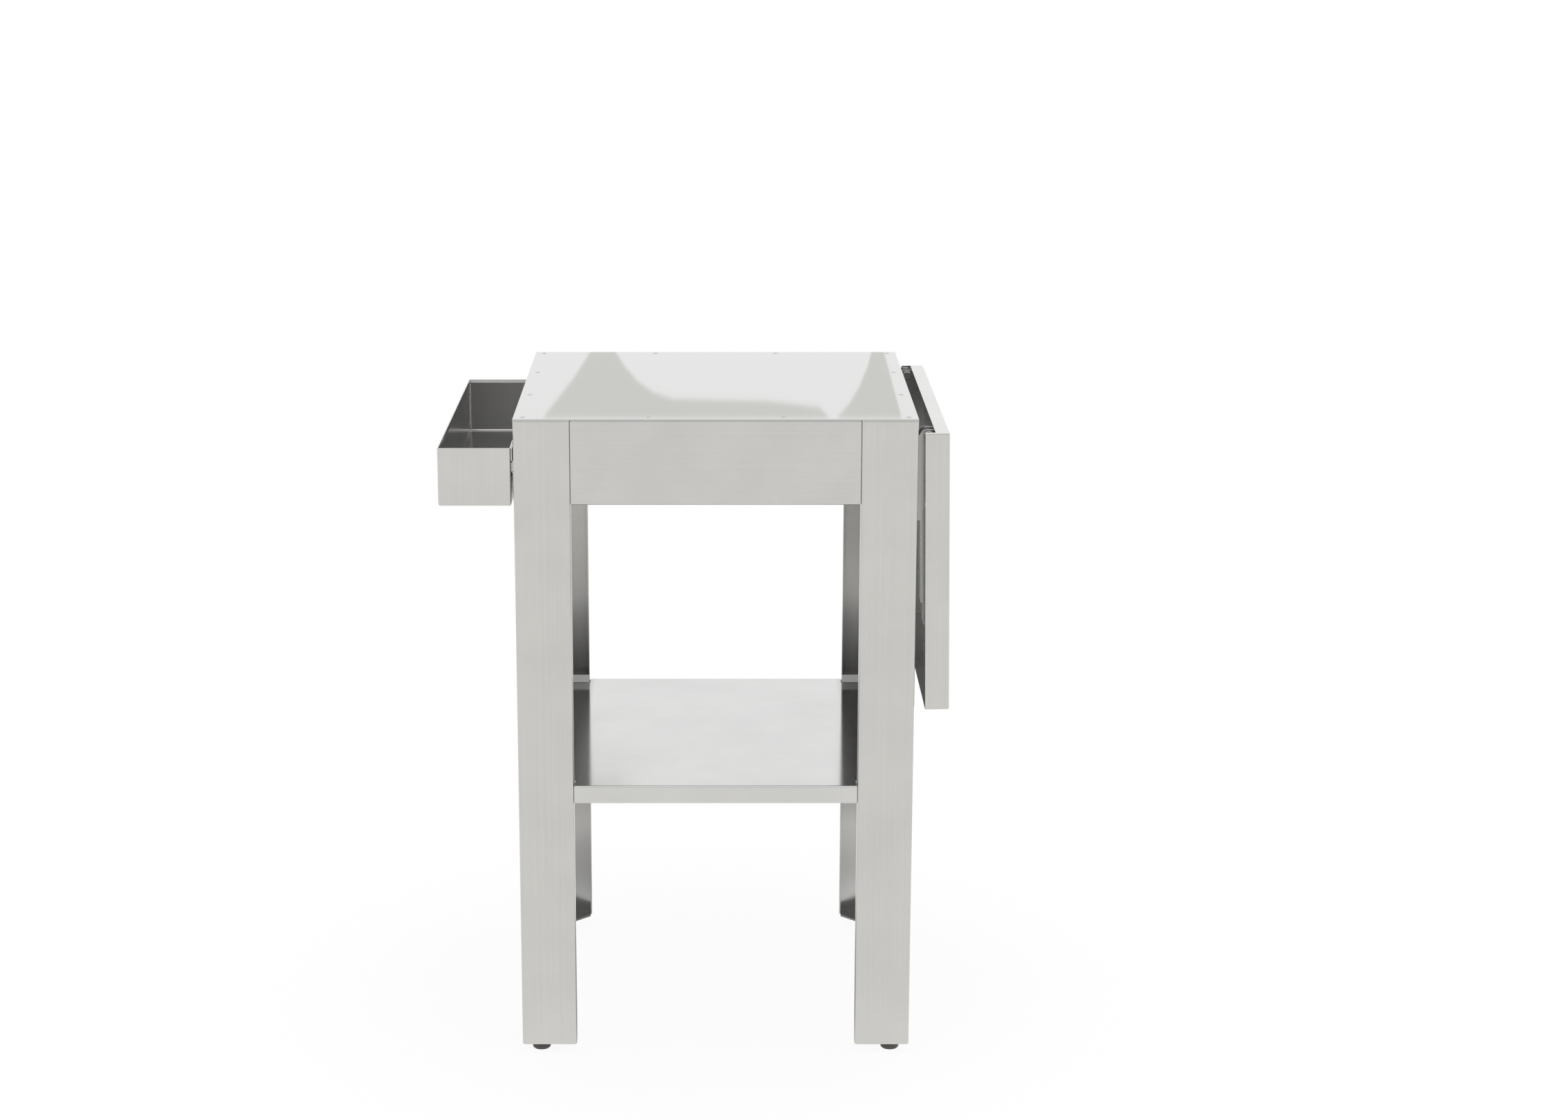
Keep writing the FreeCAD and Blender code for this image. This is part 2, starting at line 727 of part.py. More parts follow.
def wall_arm(y):
    """The bracket's channel on the leg: two ears for the hinge and the strut, and a short foot."""
    ear = pivot_ear_radius
    low = strut_pivot_z - wall_arm_foot
    top = hinge_z - ear / 4
    foot_x = half_width + wall_arm_foot_depth
    outline = [
        (half_width, low), (half_width, top), (hinge_x - ear, hinge_z + ear), (hinge_x + ear, hinge_z + ear),
        (hinge_x + ear, strut_pivot_z - ear), (foot_x, strut_pivot_z - ear), (foot_x, low),
    ]
    round_ear = ear - edge_round
    radii = [0, 0, round_ear / 2, round_ear, round_ear, bracket_sheet, bracket_sheet]
    cheeks = [upright_plate(outline, radii, span) for span in both_sides(y, wall_arm_inner, wall_arm_outer)]
    web = box(half_width, half_width + bracket_sheet, y - wall_arm_inner, y + wall_arm_inner, low, top)
    arm = union(cheeks + [web])
    across = (y - wall_arm_outer, y + wall_arm_outer)
    arm = arm.cut(cross_bar(hinge_pin_radius + pin_play, hinge_x, hinge_z, across))
    arm = arm.cut(cross_bar(strut_rivet_radius + pin_play, hinge_x, strut_pivot_z, across))
    for drop in wall_arm_screw_drops:
        arm = arm.cut(side_hole(half_width + bracket_sheet / 2, y, hinge_z - drop, bolt_radius))
    return arm


def wall_arm_screws():
    """Two hexagon screws hold each bracket to the side flange of a right leg."""
    screws = []
    for y in bracket_places():
        for drop in wall_arm_screw_drops:
            seat = Vector(half_width + bracket_sheet, y, hinge_z - drop)
            tail = seat - X * (bracket_sheet + leg_sheet + bolt_head_height + bolt_tail)
            head = hexagon(bolt_head_flats, seat, seat + X * low_head_height)
            screws.append(union([head, cylinder(bolt_radius, tail, seat)]))
    return screws


def wall_arm_nuts():
    """The nuts of those screws, inside the leg."""
    nuts = []
    for y in bracket_places():
        for drop in wall_arm_screw_drops:
            seat = Vector(half_width - leg_sheet, y, hinge_z - drop)
            end = seat - X * bolt_head_height
            nuts.append(hexagon(bolt_head_flats, end, seat).cut(cylinder(bolt_radius + pin_play, end, seat)))
    return nuts


def hinge_pins():
    """The hinge pin of each bracket, headed outside the ears."""
    pins = []
    for y in bracket_places():
        bar = cross_bar(hinge_pin_radius, hinge_x, hinge_z, (y - wall_arm_outer, y + wall_arm_outer))
        heads = [
            cross_bar(pin_head_radius, hinge_x, hinge_z, span)
            for span in both_sides(y, wall_arm_outer, wall_arm_outer + pin_head_height)
        ]
        pins.append(union([bar] + heads))
    return pins


def hinge_spacers():
    """Washers on each hinge pin that keep the leaf's arm in the middle of the ears."""
    spacers = []
    for y in bracket_places():
        for span in both_sides(y, leaf_arm_half_width + running_gap, wall_arm_inner):
            ring = cross_bar(pin_head_radius, hinge_x, hinge_z, span)
            spacers.append(ring.cut(cross_bar(hinge_pin_radius + pin_play, hinge_x, hinge_z, span)))
    return spacers


def leaf_arm(y):
    """The bracket's channel under the leaf, with the slot that the strut's slider runs in."""
    ear = pivot_ear_radius
    skin = leaf_face_x - panel_sheet
    slot_far = hinge_z - slider_reach(0)
    slot_near = hinge_z - slider_reach(90)
    tip = hinge_z - leaf_arm_reach
    outline = [
        (hinge_x - ear, slot_far - 2 * ear), (hinge_x - ear, hinge_z + ear), (hinge_x + ear, hinge_z + ear),
        (skin, hinge_z - ear / 2), (skin, tip), (skin - leaf_arm_tip_depth, tip),
    ]
    radii = [ear, ear - edge_round, ear, bracket_sheet, bracket_sheet, bracket_sheet]
    outer, inner = leaf_arm_half_width, leaf_arm_half_width - bracket_sheet
    cheeks = [upright_plate(outline, radii, span) for span in both_sides(y, inner, outer)]
    web = box(skin - bracket_sheet, skin, y - inner, y + inner, tip, hinge_z - 2 * ear)
    arm = union(cheeks + [web])
    across = (y - outer, y + outer)
    arm = arm.cut(cross_bar(hinge_pin_radius + pin_play, hinge_x, hinge_z, across))
    slot = slider_radius + slot_play
    arm = arm.cut(box(hinge_x - slot, hinge_x + slot, *across, slot_far, slot_near))
    for x, z in ((hinge_x, slot_far), (hinge_x, slot_near), (hinge_x + slot_pocket, slot_near)):
        arm = arm.cut(cross_bar(slot, x, z, across))
    for drop in leaf_stud_drops:
        seat = Vector(skin, y, hinge_z - drop)
        arm = arm.cut(cylinder(leaf_stud_radius + hole_play, seat - X * bracket_sheet, seat))
    return hung(arm)


def leaf_studs():
    """Studs welded inside the leaf, which hold its two arms."""
    studs = []
    for y in bracket_places():
        for drop in leaf_stud_drops:
            root = Vector(leaf_face_x - panel_sheet, y, hinge_z - drop)
            studs.append(hung(cylinder(leaf_stud_radius, root - X * leaf_stud_length, root)))
    return studs


def leaf_stud_nuts():
    """The nuts of those studs, inside the arms."""
    nuts = []
    for y in bracket_places():
        for drop in leaf_stud_drops:
            seat = Vector(leaf_face_x - panel_sheet - bracket_sheet, y, hinge_z - drop)
            end = seat - X * leaf_nut_height
            nut = hexagon(leaf_nut_flats, end, seat).cut(cylinder(leaf_stud_radius + pin_play, end, seat))
            nuts.append(hung(nut))
    return nuts


def strut(y):
    """The channel that props the leaf: it turns on the leg's ears and runs in the slot of the leaf's arm."""
    ear = strut_half_width
    foot = strut_pivot_z - strut_length
    outline = [
        (hinge_x - ear, foot - ear), (hinge_x - ear, strut_pivot_z + ear),
        (hinge_x + ear, strut_pivot_z + ear), (hinge_x + ear, foot - ear),
    ]
    radii = [ear - edge_round] * len(outline)
    web_far = hinge_x - pivot_ear_radius - 2 * running_gap
    web_near = web_far - bracket_sheet
    ends = (foot + strut_web_cutback, strut_pivot_z - strut_web_cutback)
    pieces = [box(web_near, web_far, y - strut_outer, y + strut_outer, *ends)]
    for span in both_sides(y, strut_inner, strut_outer):
        pieces.append(upright_plate(outline, radii, span))
        pieces.append(box(web_near, hinge_x, *span, *ends))
    shape = union(pieces)
    across = (y - strut_outer, y + strut_outer)
    for z in (strut_pivot_z, foot):
        shape = shape.cut(cross_bar(strut_rivet_radius + pin_play, hinge_x, z, across))
    shape = shape.cut(cross_bar(strut_hole_radius, hinge_x, (strut_pivot_z + foot) / 2, across))
    return propped(shape)


def headed_rivet(z, y, sign, near, far):
    """A short rivet along Y, with its head on the far side."""
    shank = cross_bar(strut_rivet_radius, hinge_x, z, (y + sign * near, y + sign * far))
    head_span = (y + sign * far, y + sign * (far + strut_rivet_head))
    return union([shank, cross_bar(strut_rivet_head_radius, hinge_x, z, head_span)])


def strut_rivets():
    """A short rivet at each side of each strut, through the ear of the leg's channel."""
    return [
        headed_rivet(strut_pivot_z, y, sign, strut_inner, wall_arm_outer)
        for y in bracket_places() for sign in (-1, 1)
    ]


def strut_end_rivets(y):
    """The heads of the slider's pin on the outside of the strut."""
    foot = strut_pivot_z - strut_length
    return [propped(headed_rivet(foot, y, sign, strut_inner, strut_outer)) for sign in (-1, 1)]


def slider(y):
    """The pin and roller that run along the slot of the leaf's arm."""
    z = hinge_z - slider_reach(leaf_rest_tilt)
    outer = leaf_arm_half_width
    inner = leaf_arm_half_width - bracket_sheet - running_gap
    pin = cross_bar(slider_radius, hinge_x, z, (y - outer, y + outer))
    roller = cross_bar(slider_roller_radius, hinge_x, z, (y - inner, y + inner))
    return hung(union([pin, roller]))


def leaf_pan():
    """The leaf: a folded pan that hangs with its top face outwards, with a lower lip along the hinge."""
    y0, y1 = -leaf_length / 2, leaf_length / 2
    z0, z1 = leaf_edge_z - leaf_reach, leaf_edge_z
    shape = pan(leaf_face_x - leaf_lip, leaf_face_x, y0, y1, z0, z1, panel_sheet, X * -1)
    bend = panel_sheet + bend_radius
    lip_x = (leaf_face_x - leaf_lip, leaf_face_x - leaf_hinge_lip)
    return hung(shape.cut(box(*lip_x, y0 + bend, y1 - bend, z1 - bend, z1)))


def all_pieces():
    """Every piece of the stand by name, as one solid or a list of solids."""
    pieces = {"top_plate": top_plate(), "top_screws": top_screws(), "top_screw_nuts": top_screw_nuts()}
    for side in ("front", "back", "left", "right"):
        pieces["apron_" + side] = apron(side)
    for name, corner in zip(corner_names, corners):
        pieces["leg_" + name] = leg(*corner)
        pieces["foot_pad_" + name] = foot_pad(*corner)
        pieces["foot_stud_" + name] = foot_stud(*corner)
    pieces["leg_cap_plates"] = leg_cap_plates()
    pieces["foot_plates"] = foot_plates()
    pieces["foot_bushes"] = foot_bushes()
    apron_places = lip_places(apron_bolt_levels())
    shelf_places = lip_places((shelf_bolt_level(),))
    pieces["apron_bolts"] = [lip_bolt(*p) for p in apron_places]
    pieces["apron_nuts"] = [lip_nut(*p) for p in apron_places]
    pieces["shelf"] = shelf()
    pieces["shelf_bolts"] = [lip_bolt(*p) for p in shelf_places]
    pieces["shelf_nuts"] = [lip_nut(*p) for p in shelf_places]
    pieces["hanger_clips"] = hanger_clips()
    pieces["hanger_rivets"] = hanger_rivets()
    pieces["tray_pan"] = tray_pan()
    pieces["tray_hook_clips"] = tray_hook_clips()
    pieces["leaf_pan"] = leaf_pan()
    pieces["leaf_studs"] = leaf_studs()
    pieces["leaf_stud_nuts"] = leaf_stud_nuts()
    pieces["hinge_pins"] = hinge_pins()
    pieces["hinge_spacers"] = hinge_spacers()
    pieces["wall_arm_screws"] = wall_arm_screws()
    pieces["wall_arm_nuts"] = wall_arm_nuts()
    pieces["strut_rivets"] = strut_rivets()
    for name, y in zip(("front", "rear"), bracket_places()):
        pieces["wall_arm_" + name] = wall_arm(y)
        pieces["leaf_arm_" + name] = leaf_arm(y)
        pieces["strut_" + name] = strut(y)
        pieces["strut_end_rivets_" + name] = strut_end_rivets(y)
        pieces["slider_" + name] = slider(y)
    return pieces


def main():
    """Builds the pieces, moves them to the middle of the footprint and writes one file for each."""
    os.makedirs("parts", exist_ok=True)
    pieces = {}
    for name, made in all_pieces().items():
        solids = []
        for shape in made if isinstance(made, list) else [made]:
            solids.extend(shape.Solids)
        pieces[name] = Part.makeCompound(solids)
    reach = Part.makeCompound(list(pieces.values())).BoundBox
    shift = Vector(-(reach.XMin + reach.XMax) / 2, 0, 0)
    for name, shape in pieces.items():
        shape.translate(shift)
        shape.exportStep("parts/" + name + ".step")
        state = "valid" if shape.isValid() else "not valid"
        print(name, len(shape.Solids), "solids", state, round(shape.Volume), "mm3")
    open_fold = 90 - leaf_rest_tilt
    print("moved along X by", round(shift.x, 4))
    print("leaf opens by", open_fold)
    print("strut turns by", round(strut_turn(90) - strut_turn(leaf_rest_tilt), 6))
    print("slider moves by", round(slider_reach(90) - slider_reach(leaf_rest_tilt), 6))


main()
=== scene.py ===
"""The look of the grill stand: brushed stainless sheet, plated brackets, fasteners and levelling feet.

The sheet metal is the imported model's own, with a brushed finish laid along each panel's length.
Screws, bolts, nuts, rivets, threads, glides and weld beads are made here in full detail.
All lengths are in metres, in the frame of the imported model.
"""

import math

import bmesh
import bpy
from mathutils import Matrix, Vector


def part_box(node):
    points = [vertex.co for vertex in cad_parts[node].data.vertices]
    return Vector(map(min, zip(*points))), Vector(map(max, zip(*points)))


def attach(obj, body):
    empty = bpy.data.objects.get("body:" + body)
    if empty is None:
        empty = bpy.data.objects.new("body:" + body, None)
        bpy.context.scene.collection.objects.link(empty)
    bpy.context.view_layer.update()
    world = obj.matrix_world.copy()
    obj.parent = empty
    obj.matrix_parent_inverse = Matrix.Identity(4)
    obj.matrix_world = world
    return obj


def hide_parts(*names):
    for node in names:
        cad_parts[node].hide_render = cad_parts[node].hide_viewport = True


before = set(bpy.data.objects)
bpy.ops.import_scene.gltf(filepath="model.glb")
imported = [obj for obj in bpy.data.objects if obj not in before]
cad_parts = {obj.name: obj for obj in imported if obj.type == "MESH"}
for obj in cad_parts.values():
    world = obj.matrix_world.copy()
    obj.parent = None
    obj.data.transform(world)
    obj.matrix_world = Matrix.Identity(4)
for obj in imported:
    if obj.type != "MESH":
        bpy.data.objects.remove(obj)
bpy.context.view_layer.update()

X = Vector((1, 0, 0))
Y = Vector((0, 1, 0))
Z = Vector((0, 0, 1))
corners = {"front_left": (-1, -1), "front_right": (1, -1), "back_left": (-1, 1), "back_right": (1, 1)}

# Sheets
panel_sheet = 0.0012
leg_sheet = 0.0015
cap_sheet = 0.002
clip_sheet = 0.0012
bracket_sheet = 0.002
foot_plate_sheet = 0.003

# Sizes and places of the frame
top_low, top_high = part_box("top_plate")
middle_x = (top_low.x + top_high.x) / 2
half = (top_high.x - top_low.x) / 2
top_z = top_high.z
panel_top = top_low.z
leg_flange = 0.0765
leg_lip = 0.020
leg_top = panel_top - cap_sheet
leg_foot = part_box("leg_front_left")[0].z
opening = half - leg_flange
apron_bolt_margin = 0.028
apron_levels = (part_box("apron_front")[0].z + apron_bolt_margin, panel_top - apron_bolt_margin)
deck_z = 0.398
shelf_lip = 0.025
shelf_bolt_level = deck_z - panel_sheet - (shelf_lip - panel_sheet) / 2
foot_inset = 0.0255
foot_reach = half - foot_inset
foot_gap = 0.0003

# Sizes and places of the tray
tray_low, tray_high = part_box("tray_pan")
tray_skin = 0.0011
tray_hem = 0.0055
clip_drop = 0.036
clip_base = 0.016
clip_rivet_level = tray_high.z - clip_drop - clip_base / 2
clip_rivet_spacing = 0.030

# Sizes and places of the leaf and its folding brackets
bracket_y = half - leg_flange / 2
brackets = {"front": -bracket_y, "rear": bracket_y}
hinge_offset = 0.015
hinge_drop = 0.0275
hinge = Vector((middle_x + half + hinge_offset, 0, top_z - hinge_drop))
leaf_skin = hinge.x + hinge_drop - panel_sheet
leaf_tilt = math.radians(0.9)
leaf_stud_drops = (0.04, 0.16, 0.28)
wall_arm_screw_drops = (0.022, 0.062)
ear_outer = 0.0146
strut_inner = 0.0103
strut_outer = 0.0123
strut_length = 0.151
strut_pivot_drop = 0.095
strut_pivot = hinge - Z * strut_pivot_drop

# The cosine past which a face counts as looking along an axis
face_on = 0.7

# A Mix node has sockets of the same names for each kind of value, so they are picked by number
vector_mix = {"A": 4, "B": 5, "Result": 1}
colour_mix = {"A": 6, "B": 7, "Result": 2}


# Finishes
def shader_group(name, inputs, outputs):
    """A new shader node group with named sockets, as (group, input node, output node)."""
    group = bpy.data.node_groups.new(name, "ShaderNodeTree")
    for label, kind, value in inputs:
        socket = group.interface.new_socket(label, in_out="INPUT", socket_type="NodeSocket" + kind)
        socket.default_value = value
    for label, kind in outputs:
        group.interface.new_socket(label, in_out="OUTPUT", socket_type="NodeSocket" + kind)
    return group, group.nodes.new("NodeGroupInput"), group.nodes.new("NodeGroupOutput")


def feed(tree, node, values):
    """Links sockets to a node's first inputs, or sets those inputs to numbers or vectors."""
    for socket, value in zip(node.inputs, values):
        if isinstance(value, bpy.types.NodeSocket):
            tree.links.new(value, socket)
        elif value is not None:
            socket.default_value = value


def math_node(tree, kind, first, second=None):
    """A math node on sockets or numbers."""
    node = tree.nodes.new("ShaderNodeMath")
    node.operation = kind
    feed(tree, node, (first, second))
    return node.outputs["Value"]


def vector_node(tree, kind, first, second=None):
    """A vector math node on sockets or vectors."""
    node = tree.nodes.new("ShaderNodeVectorMath")
    node.operation = kind
    feed(tree, node, (first, second))
    return node.outputs["Value" if kind in ("DOT_PRODUCT", "LENGTH") else "Vector"]


def noise(tree, place, scale, detail, roughness):
    """A noise value over a place."""
    node = tree.nodes.new("ShaderNodeTexNoise")
    node.inputs["Scale"].default_value = scale
    node.inputs["Detail"].default_value = detail
    node.inputs["Roughness"].default_value = roughness
    tree.links.new(place, node.inputs["Vector"])
    return node.outputs["Fac"]


def swing(tree, value, amount):
    """A value between 0 and 1 turned into a swing of half the given amount either side of nothing."""
    return math_node(tree, "MULTIPLY", math_node(tree, "SUBTRACT", value, 0.5), amount)


def shaded(tree, colour, factor):
    """A colour times a factor."""
    node = tree.nodes.new("ShaderNodeVectorMath")
    node.operation = "SCALE"
    tree.links.new(colour, node.inputs["Vector"])
    tree.links.new(factor, node.inputs["Scale"])
    return node.outputs["Vector"]


def split_node(tree, vector):
    """The three parts of a vector."""
    node = tree.nodes.new("ShaderNodeSeparateXYZ")
    tree.links.new(vector, node.inputs["Vector"])
    return node.outputs["X"], node.outputs["Y"], node.outputs["Z"]


def inside_mask(tree, away, reach):
    """1 inside a box and 0 outside it, from the way out of its middle and its reach along each axis."""
    x, y, z = split_node(tree, vector_node(tree, "SUBTRACT", reach, vector_node(tree, "ABSOLUTE", away)))
    least = math_node(tree, "MINIMUM", x, math_node(tree, "MINIMUM", y, z))
    return math_node(tree, "GREATER_THAN", least, 0.0)


def shade_depth(tree, away, asked):
    """The shade on a place, by its distance from the middle along an axis, and none nearer than its end."""
    along = math_node(tree, "ABSOLUTE", vector_node(tree, "DOT_PRODUCT", away, asked["Shade axis"]))
    depth = tree.nodes.new("ShaderNodeMapRange")
    tree.links.new(along, depth.inputs["Value"])
    tree.links.new(asked["Shade clear"], depth.inputs["From Min"])
    tree.links.new(asked["Shade full"], depth.inputs["From Max"])
    kept = math_node(tree, "GREATER_THAN", along, asked["Shade end"])
    kept = math_node(tree, "MULTIPLY", depth.outputs["Result"], kept)
    return math_node(tree, "MULTIPLY", kept, asked["Shade dulling"])


def brushed_grain_group():
    """Streaks of a belt-brushed sheet, along one way on most faces and along another on its ends.

    A sheet can carry painted shade inside a box, deepening along an axis, and can be darker on its back;
    each of these also roughens it a little.
    Its upright edges can carry a painted highlight and be less polished.
    """
    group, given, made = shader_group(
        "brushed_grain",
        [
            ("Steel", "Color", (0.7, 0.7, 0.7, 1)),
            ("Polish", "Float", 0.3),
            ("Grain", "Vector", (1, 1, 1)),
            ("End grain", "Vector", (1, 1, 1)),
            ("End axis", "Vector", (0, 0, 0)),
            ("Streaks", "Float", 0.05),
            ("Clouds", "Float", 0.03),
            ("Inside middle", "Vector", (0, 0, 0)),
            ("Inside reach", "Vector", (0, 0, 0)),
            ("Inside shade and dulling", "Float", 0.0),
            ("Shade axis", "Vector", (0, 0, 0)),
            ("Shade clear", "Float", 0.0),
            ("Shade full", "Float", 1.0),
            ("Shade end", "Float", -1.0),
            ("Shade dulling", "Float", 0.0),
            ("Back axis", "Vector", (0, 0, 0)),
            ("Back dulling", "Float", 0.0),
            ("Edge dulling", "Float", 0.0),
            ("Edge highlight", "Float", 0.0),
        ],
        [("Colour", "Color"), ("Roughness", "Float"), ("Height", "Float")],
    )
    fine_share = 0.55
    streak_roughness, cloud_roughness, dull_roughness = 0.10, 0.06, 0.4
    asked = given.outputs
    coordinates = group.nodes.new("ShaderNodeTexCoord").outputs
    place, facing = coordinates["Object"], coordinates["Normal"]
    either_way = vector_node(group, "ABSOLUTE", facing)
    at_end = vector_node(group, "DOT_PRODUCT", either_way, asked["End axis"])
    pick = group.nodes.new("ShaderNodeMix")
    pick.data_type = "VECTOR"
    group.links.new(math_node(group, "GREATER_THAN", at_end, face_on), pick.inputs["Factor"])
    group.links.new(asked["Grain"], pick.inputs[vector_mix["A"]])
    group.links.new(asked["End grain"], pick.inputs[vector_mix["B"]])
    along = vector_node(group, "MULTIPLY", place, pick.outputs[vector_mix["Result"]])
    fine = noise(group, along, scale=1.0, detail=3.0, roughness=0.6)
    broad = noise(group, along, scale=0.16, detail=2.0, roughness=0.5)
    clouds = noise(group, place, scale=11.0, detail=4.0, roughness=0.55)
    streaks = math_node(group, "MULTIPLY", fine, fine_share)
    streaks = math_node(group, "ADD", streaks, math_node(group, "MULTIPLY", broad, 1 - fine_share))
    tint = swing(group, streaks, asked["Streaks"])
    tint = math_node(group, "ADD", tint, swing(group, clouds, asked["Clouds"]))
    away = vector_node(group, "SUBTRACT", place, asked["Inside middle"])
    # Painted shade: darker inside the box and deeper along the shade's axis; a sheet's back is darker too,
    # and all of these roughen it a little
    shade_and_dulling = math_node(group, "ADD", shade_depth(group, away, asked), asked["Inside shade and dulling"])
    shade_and_dulling = math_node(group, "MULTIPLY", inside_mask(group, away, asked["Inside reach"]), shade_and_dulling)
    turned_away = vector_node(group, "DOT_PRODUCT", facing, asked["Back axis"])
    back = math_node(group, "GREATER_THAN", turned_away, face_on)
    shade_and_dulling = math_node(group, "ADD", shade_and_dulling, math_node(group, "MULTIPLY", back, asked["Back dulling"]))
    upright = math_node(group, "LESS_THAN", vector_node(group, "DOT_PRODUCT", either_way, Z), face_on)
    # Painted highlight: upright faces are made lighter by the edge highlight
    lift = math_node(group, "ADD", math_node(group, "MULTIPLY", upright, asked["Edge highlight"]), 1.0)
    tint = math_node(group, "SUBTRACT", math_node(group, "ADD", tint, lift), shade_and_dulling)
    group.links.new(shaded(group, asked["Steel"], tint), made.inputs["Colour"])
    rough = swing(group, streaks, streak_roughness)
    rough = math_node(group, "ADD", rough, swing(group, clouds, cloud_roughness))
    worn = math_node(group, "MULTIPLY", upright, asked["Edge dulling"])
    worn = math_node(group, "ADD", worn, math_node(group, "MULTIPLY", shade_and_dulling, dull_roughness))
    share = math_node(group, "ADD", math_node(group, "ADD", rough, 1.0), worn)
    group.links.new(math_node(group, "MULTIPLY", asked["Polish"], share), made.inputs["Roughness"])
    group.links.new(fine, made.inputs["Height"])
    return group


def plated_grain_group():
    """The fine, slightly cloudy surface of plated or turned steel."""
    group, given, made = shader_group(
        "plated_grain",
        [("Metal", "Color", (0.6, 0.6, 0.6, 1)), ("Polish", "Float", 0.35), ("Spangle", "Float", 0.1)],
        [("Colour", "Color"), ("Roughness", "Float"), ("Height", "Float")],
    )
    cloud_tint, cloud_roughness = 0.22, 0.5
    flakes_to_a_metre = 260.0
    asked = given.outputs
    place = group.nodes.new("ShaderNodeTexCoord").outputs["Object"]
    clouds = noise(group, place, scale=90.0, detail=3.0, roughness=0.6)
    grit = noise(group, place, scale=2600.0, detail=2.0, roughness=0.5)
    cells = group.nodes.new("ShaderNodeTexVoronoi")
    cells.inputs["Scale"].default_value = flakes_to_a_metre
    group.links.new(place, cells.inputs["Vector"])
    flakes = group.nodes.new("ShaderNodeSeparateColor")
    group.links.new(cells.outputs["Color"], flakes.inputs["Color"])
    spangle = swing(group, flakes.outputs["Red"], asked["Spangle"])
    tint = math_node(group, "ADD", spangle, swing(group, clouds, cloud_tint))
    tint = math_node(group, "ADD", tint, 1.0)
    group.links.new(shaded(group, asked["Metal"], tint), made.inputs["Colour"])
    share = math_node(group, "ADD", swing(group, clouds, cloud_roughness), spangle)
    share = math_node(group, "ADD", share, 1.0)
    group.links.new(math_node(group, "MULTIPLY", asked["Polish"], share), made.inputs["Roughness"])
    group.links.new(grit, made.inputs["Height"])
    return group


def finish_material(name, group, values, depth, metallic=1.0):
    """A material whose colour, roughness and fine relief come from a finish group."""
    relief_strength = 0.5
    material = bpy.data.materials.new(name)
    material.use_nodes = True
    tree = material.node_tree
    shader = tree.nodes["Principled BSDF"]
    shader.inputs["Metallic"].default_value = metallic
    finish = tree.nodes.new("ShaderNodeGroup")
    finish.node_tree = group
    for label, value in values.items():
        finish.inputs[label].default_value = value
    tree.links.new(finish.outputs["Colour"], shader.inputs["Base Color"])
    tree.links.new(finish.outputs["Roughness"], shader.inputs["Roughness"])
    relief = tree.nodes.new("ShaderNodeBump")
    relief.inputs["Strength"].default_value = relief_strength
    relief.inputs["Distance"].default_value = depth
    tree.links.new(finish.outputs["Height"], relief.inputs["Height"])
    tree.links.new(relief.outputs["Normal"], shader.inputs["Normal"])
    return material


brushed_grain = brushed_grain_group()
plated_grain = plated_grain_group()
along_streaks, across_streaks = 5, 1100
grain_x = (along_streaks, across_streaks, across_streaks)
grain_y = (across_streaks, along_streaks, across_streaks)
grain_z = (across_streaks, across_streaks, along_streaks)
stainless = (0.715, 0.710, 0.696, 1)
polished_stainless = (0.66, 0.66, 0.655, 1)
# Dark steel for the painted shade on the foot gussets
painted_shade_stainless = (0.26, 0.26, 0.25, 1)


def brushed_sheet(
        name, grain, end_grain=(1, 1, 1), end_axis=(0, 0, 0), stretch=0.0, turn=0.0, depth=0.000015,
        **changes):
    """Stainless sheet brushed along one axis, and along another on the faces of its ends.

    The highlights stretch level across upright brushing, or with a quarter turn upright across level
    brushing.
    """
    values = {
        "Steel": stainless, "Polish": 0.21, "Streaks": 0.12, "Clouds": 0.16,
        "Grain": grain, "End grain": end_grain, "End axis": end_axis,
    }
    values.update(changes)
    material = finish_material(name, brushed_grain, values, depth)
    shader = material.node_tree.nodes["Principled BSDF"]
    shader.inputs["Anisotropic"].default_value = stretch
    shader.inputs["Anisotropic Rotation"].default_value = turn
    return material


def plated_steel(name, metal, polish, spangle, depth, metallic=1.0):
    """Plated, turned or welded steel, or moulded plastic where it isn't metallic."""
    values = {"Metal": metal, "Polish": polish, "Spangle": spangle}
    return finish_material(name, plated_grain, values, depth, metallic)


# How far a finish that belongs to one face reaches past it
face_depth = 0.0005
deck_edge = 0.003
leg_shade_height = 0.13
deck_shade_start = opening - 0.010
deck_shade_end = opening + 0.008
tray_inner_low = tray_low + Vector((tray_skin, tray_skin, tray_skin))
tray_inner_high = tray_high - Vector((tray_skin, tray_skin, tray_hem))

# Painted shade on the legs' inner faces: a little all over, and deepening down to the shelf
upright_sheet = brushed_sheet("stainless_brushed_upright", grain_z, stretch=0.75, **{
    "Inside middle": (middle_x, 0, 0),
    "Inside reach": (half - leg_sheet / 2, half - leg_sheet / 2, leg_top),
    "Inside shade and dulling": 0.10,
    "Shade axis": Z,
    "Shade clear": deck_z + leg_shade_height,
    "Shade full": deck_z,
    "Shade end": deck_z - face_depth,
    "Shade dulling": 0.55,
})
cross_sheet = brushed_sheet("stainless_brushed_across", grain_x, stretch=0.5, turn=0.25)
side_sheet = brushed_sheet("stainless_brushed_sideways", grain_y, stretch=0.5, turn=0.25)
top_sheet = brushed_sheet(
    "stainless_polished_top", grain_x, depth=0.000004,
    Steel=polished_stainless, Polish=0.028, Streaks=0.03, Clouds=0.03)
